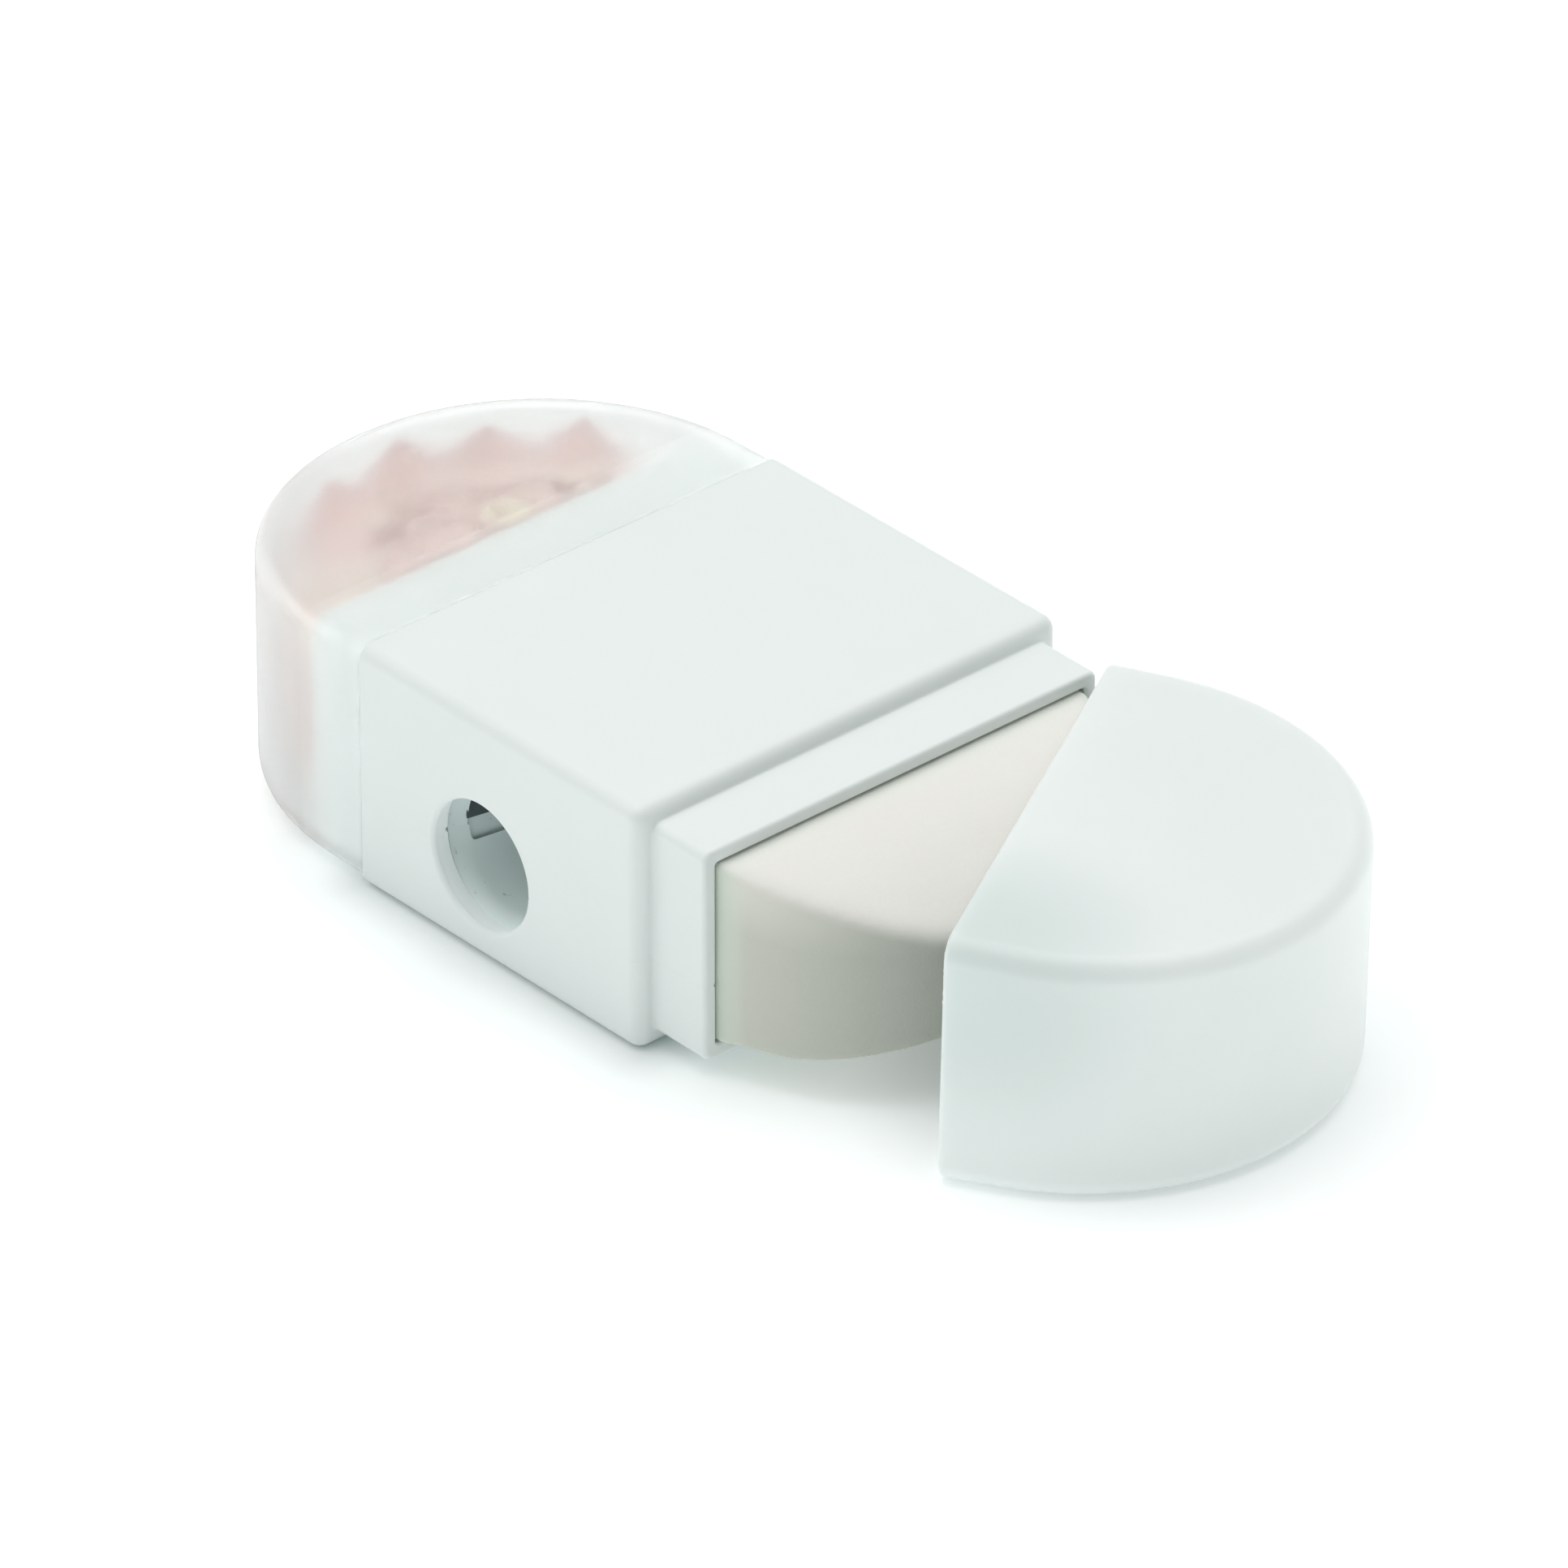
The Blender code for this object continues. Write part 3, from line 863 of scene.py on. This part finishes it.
wide_corner = Vector((0.0, half_width, eraser_rise))
eraser = add_block("cream_eraser", along(eraser_low.x) - wide_corner, along(crown_start) + wide_corner)
edit(eraser)
pick("FACE", facing(1, 0, 0))
last_rise = eraser_rise
for number in range(1, crown_steps + 1):
    beyond = crown_reach * number / crown_steps
    next_rise = eraser_rise - crown_radius + math.sqrt(crown_radius**2 - beyond**2)
    extrude(crown_reach / crown_steps, 0.0, 0.0)
    bpy.ops.transform.resize(value=(1.0, 1.0, next_rise / last_rise), center_override=along(0.0))
    last_rise = next_rise
pick("VERT", lambda vert: vert.co.x > droop_start)
tilt(along(droop_start), droop)
leave()
outline = half_disc("outline", eraser_round_start, eraser_half, 2 * top, eraser_low.x - overcut)
combine(eraser, outline, "INTERSECT")
remesh = eraser.modifiers.new("skin", "REMESH")
remesh.mode = "VOXEL"
remesh.voxel_size = eraser_voxel
apply_modifiers(eraser)
worn = eraser.vertex_groups.new(name="worn")
for vert in eraser.data.vertices:
    wear = min(max((vert.co.x - worn_start) / worn_reach, 0.0), 1.0)
    worn.add([vert.index], wear, "REPLACE")
for passes, group in ((even_passes, ""), (worn_passes, "worn")):
    smooth = eraser.modifiers.new("soft", "SMOOTH")
    smooth.iterations = passes
    smooth.vertex_group = group
uneven = eraser.modifiers.new("uneven", "DISPLACE")
uneven.texture = bpy.data.textures.new("uneven rubber", "CLOUDS")
uneven.texture.noise_scale = uneven_size
uneven.strength = uneven_depth
uneven.mid_level = uneven_level
apply_modifiers(eraser)
edit(eraser)
for height in (-line_height, 0.0, line_height):
    bpy.ops.mesh.select_all(action="SELECT")
    bpy.ops.mesh.bisect(plane_co=(0.0, 0.0, middle + height), plane_no=(0.0, 0.0, 1.0))
pick("VERT", lambda vert: near(vert.co.z, middle))
bpy.ops.transform.shrink_fatten(value=line_reach)
leave()
choose(eraser)
bpy.ops.object.shade_smooth()
finish_piece(eraser, eraser_rubber("eraser cream"), "housing", "eraser_cream", "eraser")

# Shavings container. A frosted clear cup, moulded with an even wall: a half disc with short straight
# sides whose top and bottom close in a little. It snaps over the left spigot, up against the block.
cover_wall = 0.8 * MM
cover_edge = 1.4 * MM
cover_drop = 0.4 * MM
container_gap = 0.05 * MM
container_rim = -half_length - container_gap
container_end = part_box("shavings_container")[0].x
clear_shade = (0.948, 0.958, 0.955)
clear_light = (0.962, 0.97, 0.967)
# Colours of the painted glow: faint all over, stronger where the spigot is behind the wall, and a painted
# highlight on the round upper edges.
bare_painted_glow = (0.004, 0.004, 0.004)
backed_painted_glow = (0.046, 0.051, 0.05)
backed_fade = 0.1 * MM
edge_painted_glow = (0.075, 0.08, 0.08)
edge_slope = 0.55
edge_spread = 0.3


def cover_lean(straight):
    return math.atan(cover_drop / (straight + half_width))


def make_cover(name, straight, rim):
    """A cup with its rim on the YZ plane and its round end towards +X."""
    cover = half_disc(name, straight, half_width, top, 0.0)
    edit(cover)
    pick("FACE", facing(-1, 0, 0))
    bpy.ops.mesh.delete(type="FACE")
    for height, way in ((top, 1), (0.0, -1)):
        pick("FACE", facing(0, 0, way))
        bpy.ops.mesh.dissolve_faces()
        tilt((0.0, 0.0, height), way * cover_lean(straight))
    pick("EDGE", sharp)
    bevel(cover_edge, 10)
    leave()
    wall = cover.modifiers.new("wall", "SOLIDIFY")
    wall.thickness = cover_wall
    wall.offset = -1.0
    wall.use_even_offset = True
    wall.use_quality_normals = True
    apply_modifiers(cover)
    edit(cover)
    pick("EDGE", lambda edge: sharp(edge) and all_at(edge, X, 0.0))
    bevel(rim, 4)
    leave()
    return cover


def frosted_clear(name):
    """Milky clear plastic that blurs what is in it, with a faint painted glow that is stronger over the
    spigot and along its round upper edges.
    """
    material, shader, place = start_material(name)
    cloud = noise(place, 6.0 * MM, 3.0)
    fine = noise(place, 0.3 * MM)
    over_spigot = fade(part_of(place, "X"), shell_low.x - backed_fade, shell_low.x + backed_fade)
    normal = place.make("ShaderNodeNewGeometry", output="Normal")
    from_edge = (part_of(normal, "Z") - edge_slope) * (1.0 / edge_spread)
    at_edge = fade(1.0 - from_edge * from_edge, 0.0, 1.0)
    # Painted light: the wall glows faintly, more over the spigot, with a painted highlight along its round
    # upper edges.
    finish = {
        "Base Color": mix_colour(cloud, clear_shade, clear_light),
        "Roughness": fine * 0.08 + cloud * 0.06 + 0.52,
        "IOR": 1.22,
        "Transmission Weight": 0.9,
        "Sheen Weight": 0.6,
        "Sheen Roughness": 0.6,
        "Emission Color": mix_colour(at_edge, mix_colour(over_spigot, bare_painted_glow, backed_painted_glow), edge_painted_glow),
        "Emission Strength": 1.0,
        "Normal": bumps(fine + cloud, 0.008 * MM),
    }
    place.fill(shader, finish)
    return material


container = make_cover("clear_container", container_rim - container_end - half_width, joint_edge)
container.location = (container_rim, 0.0, 0.0)
container.rotation_euler = (0.0, 0.0, math.pi)
settle(container)
even_normals(container)
finish_piece(container, frosted_clear("frosted clear"), "container", "frosted_clear", "shavings_container")

# Shavings. Curls of cedar with scalloped, painted edges, turned off by the blade and packed loose in
# the container. One long strip stands against the round wall, with its points up, and two scraps of
# green and yellow wood lie on the pile.
rng = random.Random(11)
hollow_axis = -15.0 * MM
hollow_radius = 13.9 * MM
hollow_floor = 1.3 * MM
hollow_top = 14.8 * MM
hollow_mouth = shell_low.x - 0.3 * MM
pile_fall = 3.6 * MM
pile_curve = 5
pile_layers = (3.6 * MM, 7.4 * MM, 10.2 * MM, 12.4 * MM, 13.8 * MM)
pile_rings = ((3.5 * MM, 4), (8.2 * MM, 7), (12.0 * MM, 10))
pile_start = 100.0
pile_span = 160.0
layer_stagger = 0.25
side_jitter = 0.8 * MM
height_jitter = 0.6 * MM
margin_most = 0.6 * MM
tint_most = 0.8
curl_rows = 4
curl_steps = 26
curl_wall = 0.12 * MM
curl_lobes = 6
lobe_depth = 0.22
lobe_level = 0.6
ripples = 3
ripple_depth = 0.35 * MM
scraps = [((-20.6 * MM, -9.6 * MM, 13.9 * MM), 1.0), ((-19.4 * MM, 1.0 * MM, 13.9 * MM), 0.9)]
scrap_scale = 0.45
scrap_turn = (0.3, 0.2, 1.0)
scrap_margin = 0.1 * MM
wood_tints = [
    (0.0, (0.96, 0.64, 0.59)),
    (0.25, (0.96, 0.68, 0.61)),
    (0.5, (0.96, 0.73, 0.62)),
    (0.75, (0.94, 0.76, 0.64)),
    (0.9, (0.95, 0.85, 0.60)),
    (1.0, (0.74, 0.90, 0.70)),
]
grain_tone = (0.88, 0.58, 0.50)
paint_tone = (0.82, 0.48, 0.46)
paint_edge = [(0.8, (0.0, 0.0, 0.0)), (0.95, (1.0, 1.0, 1.0))]


def sweep_round(line, turn, rise, steps):
    """Sweeps an open line round the Z axis into a sheet."""
    leave()
    sweep = line.modifiers.new("sweep", "SCREW")
    sweep.axis = "Z"
    sweep.angle = turn
    sweep.screw_offset = rise
    sweep.steps = steps
    sweep.render_steps = steps
    apply_modifiers(line)


def note(piece, name, values):
    """Keeps a number for each of a piece's points."""
    piece.data.attributes.new(name, "FLOAT", "POINT").data.foreach_set("value", values)


def add_curl(inner, width, slant, turns, rise):
    """One shaving: a slanting edge swept round its own axis, with lobes along its outer edge."""
    out = width * math.cos(slant) / curl_rows
    up = width * math.sin(slant) / curl_rows
    curl = draw_line("curl", (inner, 0.0, 0.0), [(out, 0.0, up)] * curl_rows)
    sweep_round(curl, turns * math.tau, rise * turns, int(turns * curl_steps))
    rims = []
    for vert in curl.data.vertices:
        radius = math.hypot(vert.co.x, vert.co.y)
        angle = math.atan2(vert.co.y, vert.co.x)
        rim = (radius - inner) / (width * math.cos(slant))
        lobe = abs(math.sin(curl_lobes * angle / 2))
        grown = 1 + rim * lobe_depth * (lobe - lobe_level)
        vert.co.x *= grown
        vert.co.y *= grown
        vert.co.z += rim * ripple_depth * math.sin(ripples * angle + inner / MM)
        rims.append(rim)
    note(curl, "rim", rims)
    return curl


def keep_inside(point, margin):
    """The nearest point to this one in the container's hollow, below the crown of the pile."""
    x = min(point.x, hollow_mouth - margin)
    offset = Vector((x - hollow_axis, point.y))
    reach = hollow_radius - margin
    if offset.length > reach:
        offset = offset.normalized() * reach
    pile_top = hollow_top - pile_fall * (offset.length / hollow_radius) ** pile_curve
    z = min(max(point.z, hollow_floor + margin), pile_top - margin)
    return Vector((hollow_axis + offset.x, offset.y, z))


def press_in(curl, margin):
    """Presses a shaving into the container's hollow."""
    settle(curl)
    for vert in curl.data.vertices:
        vert.co = keep_inside(vert.co, margin)


def thicken(curl, tint):
    """Gives a shaving its thickness and notes its tint."""
    note(curl, "tint", [tint] * len(curl.data.vertices))
    wood = curl.modifiers.new("wood", "SOLIDIFY")
    wood.thickness = curl_wall
    wood.offset = 0.0
    apply_modifiers(curl)


def cedar(name):
    """Thin cut wood: its tint, fine grain, and paint along its outer edge, with a faint painted glow in its
    own colour for the light that the thin wood lets through.
    """
    material, shader, place = start_material(name)
    tint = place.make("ShaderNodeAttribute", {"attribute_name": "tint"}, None, "Fac")
    rim = place.make("ShaderNodeAttribute", {"attribute_name": "rim"}, None, "Fac")
    grain = noise(place, 0.5 * MM, 4.0)
    wood = place.make("ShaderNodeValToRGB", {"stops": wood_tints}, {"Fac": tint})
    painted = place.make("ShaderNodeValToRGB", {"stops": paint_edge}, {"Fac": rim})
    tone = mix_colour(painted, mix_colour(grain * 0.3, wood, grain_tone), paint_tone)
    # Painted light: the wood glows faintly in its own colour.
    finish = {
        "Base Color": tone,
        "Emission Color": tone,
        "Emission Strength": 0.07,
        "Roughness": grain * 0.2 + 0.65,
        "Normal": bumps(grain, 0.02 * MM),
    }
    place.fill(shader, finish)
    return material


strip_radius = 14.3 * MM
strip_depth = 7.0 * MM
strip_lean = 2.0 * MM
strip_wave = 0.25 * MM
strip_waves = 9
strip_tint = 0.1
strip_steps = 140
strip_rows = 6
strip_points = [
    (214.0, 9.0 * MM),
    (206.0, 12.4 * MM),
    (197.0, 14.6 * MM),
    (186.0, 12.6 * MM),
    (172.5, 14.6 * MM),
    (162.0, 12.5 * MM),
    (151.0, 14.5 * MM),
    (139.0, 12.3 * MM),
    (128.0, 14.6 * MM),
    (119.0, 12.6 * MM),
    (109.0, 9.0 * MM),
]
strip_first = strip_points[0][0]
strip_last = strip_points[-1][0]


def strip_height(angle):
    """The height of the strip's pointed edge at an angle."""
    for (higher, high_end), (lower, low_end) in zip(strip_points, strip_points[1:]):
        if angle >= lower:
            break
    share = (angle - lower) / (higher - lower)
    return low_end + (high_end - low_end) * share


def add_strip():
    """One long shaving that stands against the round wall, with a point for each side of its pencil."""
    strip = draw_line("strip", (strip_radius, 0.0, 0.0), [(0.0, 0.0, MM)] * strip_rows)
    sweep_round(strip, math.radians(strip_first - strip_last), 0.0, strip_steps)
    rims = []
    for vert in strip.data.vertices:
        angle = abs(math.degrees(math.atan2(vert.co.y, vert.co.x))) + strip_last
        rim = vert.co.z / (strip_rows * MM)
        wave = strip_wave * math.sin(math.radians(strip_waves * angle))
        radius = strip_radius + wave - strip_lean * (1 - rim)
        vert.co.x = hollow_axis + radius * math.cos(math.radians(angle))
        vert.co.y = radius * math.sin(math.radians(angle))
        vert.co.z = strip_height(min(angle, strip_first)) - strip_depth * (1 - rim)
        rims.append(rim)
    note(strip, "rim", rims)
    return strip


patterns = [
    add_curl(inner=1.2 * MM, width=3.6 * MM, slant=0.5, turns=1.6, rise=1.1 * MM),
    add_curl(inner=0.8 * MM, width=4.4 * MM, slant=0.8, turns=1.2, rise=1.5 * MM),
    add_curl(inner=1.6 * MM, width=2.8 * MM, slant=0.3, turns=2.1, rise=0.8 * MM),
]
shavings = []
for layer, height in enumerate(pile_layers):
    for ring, count in pile_rings:
        for number in range(count):
            share = (number + 0.5 + layer_stagger * (layer % 2)) / count
            angle = math.radians(pile_start + pile_span * share)
            curl = copy_piece(patterns[rng.randrange(len(patterns))], "curl")
            curl.location = (
                hollow_axis + ring * math.cos(angle) + rng.uniform(-side_jitter, side_jitter),
                ring * math.sin(angle) + rng.uniform(-side_jitter, side_jitter),
                height + rng.uniform(-height_jitter, height_jitter),
            )
            curl.rotation_euler = [rng.uniform(-math.pi, math.pi) for axis in range(3)]
            press_in(curl, rng.uniform(0.0, margin_most))
            thicken(curl, rng.uniform(0.0, tint_most))
            shavings.append(curl)
for place, tint in scraps:
    scrap = copy_piece(patterns[1], "scrap")
    scrap.location = place
    scrap.scale = (scrap_scale, scrap_scale, scrap_scale)
    scrap.rotation_euler = scrap_turn
    press_in(scrap, scrap_margin)
    thicken(scrap, tint)
    shavings.append(scrap)
strip = add_strip()
thicken(strip, strip_tint)
shavings.append(strip)
for pattern in patterns:
    bpy.data.objects.remove(pattern, do_unlink=True)
pile = shavings[0]
choose(pile)
for curl in shavings:
    curl.select_set(True)
bpy.ops.object.join()
pile.name = "shavings"
even_normals(pile, angle=50.0)
finish_piece(pile, cedar("cedar shavings"), "container", "frosted_clear")

# Eraser cap. A cup like the container, in white plastic. It has been pulled off and turned, and lies on
# its lower face with the eraser's end in its mouth. A jagged flash is left on its rim, and a painted
# shade on its side stands for the eraser seen darker through its wall.
cap_straight = 3.5 * MM
cap_turn = math.radians(30.35)
cap_place = Vector((24.896 * MM, 1.404 * MM, 0.0))
flash_low = 11.6 * MM
flash_high = 15.2 * MM
flash_cuts = 24
flash_jag = 0.09 * MM
# Centre, reach and colour of the painted shade where the eraser's end stands behind the cap's wall.
painted_shade_place = (33.5 * MM, -9.0 * MM, 12.5 * MM)
painted_shade_start = 3.0 * MM
painted_shade_end = 11.5 * MM
painted_shade_tone = (0.67, 0.735, 0.72)
# Colour of the painted glow on the cap's upright sides.
side_painted_glow = (0.05, 0.054, 0.053)


def cap_plastic(name):
    """Thin white plastic that light enters, with a painted shade near the eraser's end and a painted glow on
    its upright sides.
    """
    material, shader, place, tone = white_plastic(name, white_light, white_shade, 0.38)
    # Painted shade: darker towards the eraser's end behind the wall.
    away = on_vectors("DISTANCE", place, painted_shade_place, "Value")
    dim = fade(away, painted_shade_start, painted_shade_end, 0.85, 0.0, "SMOOTHSTEP")
    # Painted light: the upright sides glow.
    normal = place.make("ShaderNodeNewGeometry", output="Normal")
    upright = fade(part_of(normal, "Z"), 0.1, 0.8, 1.0, 0.0)
    finish = {
        "Base Color": mix_colour(dim, tone, painted_shade_tone),
        "Emission Color": mix_colour(upright, black, side_painted_glow),
        "Emission Strength": 1.0,
        "Subsurface Weight": 0.8,
        "Subsurface Radius": (1.0, 1.0, 1.0),
        "Subsurface Scale": 1.2 * MM,
    }
    place.fill(shader, finish)
    return material


cap = make_cover("cap_cup", cap_straight, rim_edge)
edit(cap)
for number in range(flash_cuts + 1):
    bpy.ops.mesh.select_all(action="SELECT")
    height = flash_low + (flash_high - flash_low) * number / flash_cuts
    bpy.ops.mesh.bisect(plane_co=(0.0, 0.0, height), plane_no=(0.0, 0.0, 1.0))
pick(
    "VERT",
    lambda vert: vert.co.x < TINY
    and vert.co.y < cover_wall - half_width
    and flash_low < vert.co.z < flash_high,
)
bpy.ops.transform.vertex_random(offset=flash_jag, seed=5)
leave()
cap.location = cap_place
cap.rotation_euler = (0.0, cover_lean(cap_straight), cap_turn)
settle(cap)
even_normals(cap)
finish_piece(cap, cap_plastic("cap white"), "cap", "cap_white", "eraser_cap")

# Floor and light. A white sheet that glows, with painted shadows where its glow fades near the block and
# round the cap, in an even bright room with a darker side, under a wide soft lamp and a weaker one from the
# front.
floor_size = 3.0
floor_drop = 0.02 * MM
floor_shade = (0.90, 0.905, 0.905)
floor_light = (0.91, 0.915, 0.915)
floor_cloud_size = 200.0 * MM
glow_end = 90.0 * MM
# The floor's glow, weakest at the block's footprint, so that painted shadows lie round the block.
glow_stops = [
    (0.0, (0.03, 0.045, 0.044)),
    (0.03, (0.2, 0.225, 0.222)),
    (0.1, (0.27, 0.29, 0.288)),
    (1.0, (0.43, 0.45, 0.448)),
]
# Centre and reach of the painted shadow round the cap.
cap_middle = cap_place + Vector((math.cos(cap_turn), math.sin(cap_turn), 0.0)) * 11.0 * MM
cap_shade_start = 13.0 * MM
cap_shade_end = 22.0 * MM


def lit_sheet(name):
    """A matt white sheet that glows, with painted shadows where its glow fades towards the block and the
    cap.
    """
    material, shader, place = start_material(name)
    aside = on_vectors("ABSOLUTE", place)
    beyond = on_vectors("SUBTRACT", aside, (half_length, half_width, 0.0))
    beyond = on_vectors("MAXIMUM", beyond, (0.0, 0.0, 0.0))
    away = on_vectors("LENGTH", beyond, output="Value")
    # Painted shadows: the glow fades towards the block.
    glow = place.make("ShaderNodeValToRGB", {"stops": glow_stops}, {"Fac": away * (1.0 / glow_end)})
    # Painted shadow: the glow fades round the cap.
    from_cap = on_vectors("DISTANCE", place, cap_middle, "Value")
    dim = fade(from_cap, cap_shade_start, cap_shade_end, 0.4, 0.0, "SMOOTHSTEP")
    finish = {
        "Base Color": mix_colour(noise(place, floor_cloud_size), floor_shade, floor_light),
        "Emission Color": mix_colour(dim, glow, black),
        "Emission Strength": 1.0,
        "Roughness": 0.9,
        "Specular IOR Level": 0.0,
    }
    place.fill(shader, finish)
    return material


bpy.ops.object.select_all(action="DESELECT")
bpy.ops.mesh.primitive_plane_add(size=floor_size, location=(0.0, 0.0, -floor_drop))
floor = bpy.context.object
floor.name = "floor"
floor.data.materials.append(lit_sheet("floor white"))

azimuth = math.radians(48.269)
across = Vector((math.cos(azimuth), math.sin(azimuth), 0.0))
level = Vector((-math.sin(azimuth), math.cos(azimuth), 0.0))
dark_side = across * 0.35 - level * 0.94
room_tone = (0.945, 1.0, 0.99)
room_bright = 0.58
room_dark = 0.24
dark_start = 0.2
dark_end = 0.95
world = bpy.data.worlds.new("studio")
bpy.context.scene.world = world
world.use_nodes = True
direction = Wire(world.node_tree).make("ShaderNodeTexCoord", output="Generated")
towards_dark = on_vectors("DOT_PRODUCT", direction, dark_side, "Value")
room_light = fade(towards_dark, dark_start, dark_end, room_bright, room_dark, "SMOOTHSTEP")
direction.fill(world.node_tree.nodes["Background"], {"Color": room_tone, "Strength": room_light})
bpy.context.scene.view_settings.view_transform = "Standard"

overhead = across * 0.1 + level * 0.25 + Vector((0.0, 0.0, 1.1))
front_left = Vector((-0.3, -0.5, 0.95))
lamp_tone = (1.0, 0.985, 0.98)
for lamp_place, size, power in ((overhead, 1.2, 6.8), (front_left, 0.9, 1.9)):
    bpy.ops.object.light_add(type="AREA", location=lamp_place)
    lamp = bpy.context.object
    lamp.rotation_euler = lamp_place.to_track_quat("Z", "Y").to_euler()
    lamp.data.shape = "SQUARE"
    lamp.data.size = size
    lamp.data.energy = power
    lamp.data.color = lamp_tone

# Camera, at the photograph's angle: it looks along forward at the point of the object that stands in
# the middle of the picture.
elevation = math.radians(32.077)
distance = 930.8 * MM
aim_across = 4.245 * MM
aim_up = 4.874 * MM
forward = level * math.cos(elevation) - Vector((0.0, 0.0, math.sin(elevation)))
upward = level * math.sin(elevation) + Vector((0.0, 0.0, math.cos(elevation)))
target = across * aim_across + upward * aim_up
bpy.ops.object.camera_add(location=target - forward * distance)
camera = bpy.context.object
camera.rotation_euler = forward.to_track_quat("-Z", "Y").to_euler()
camera.data.sensor_width = 36.0
camera.data.lens = 372.7
camera.data.clip_end = 10.0
bpy.context.scene.camera = camera
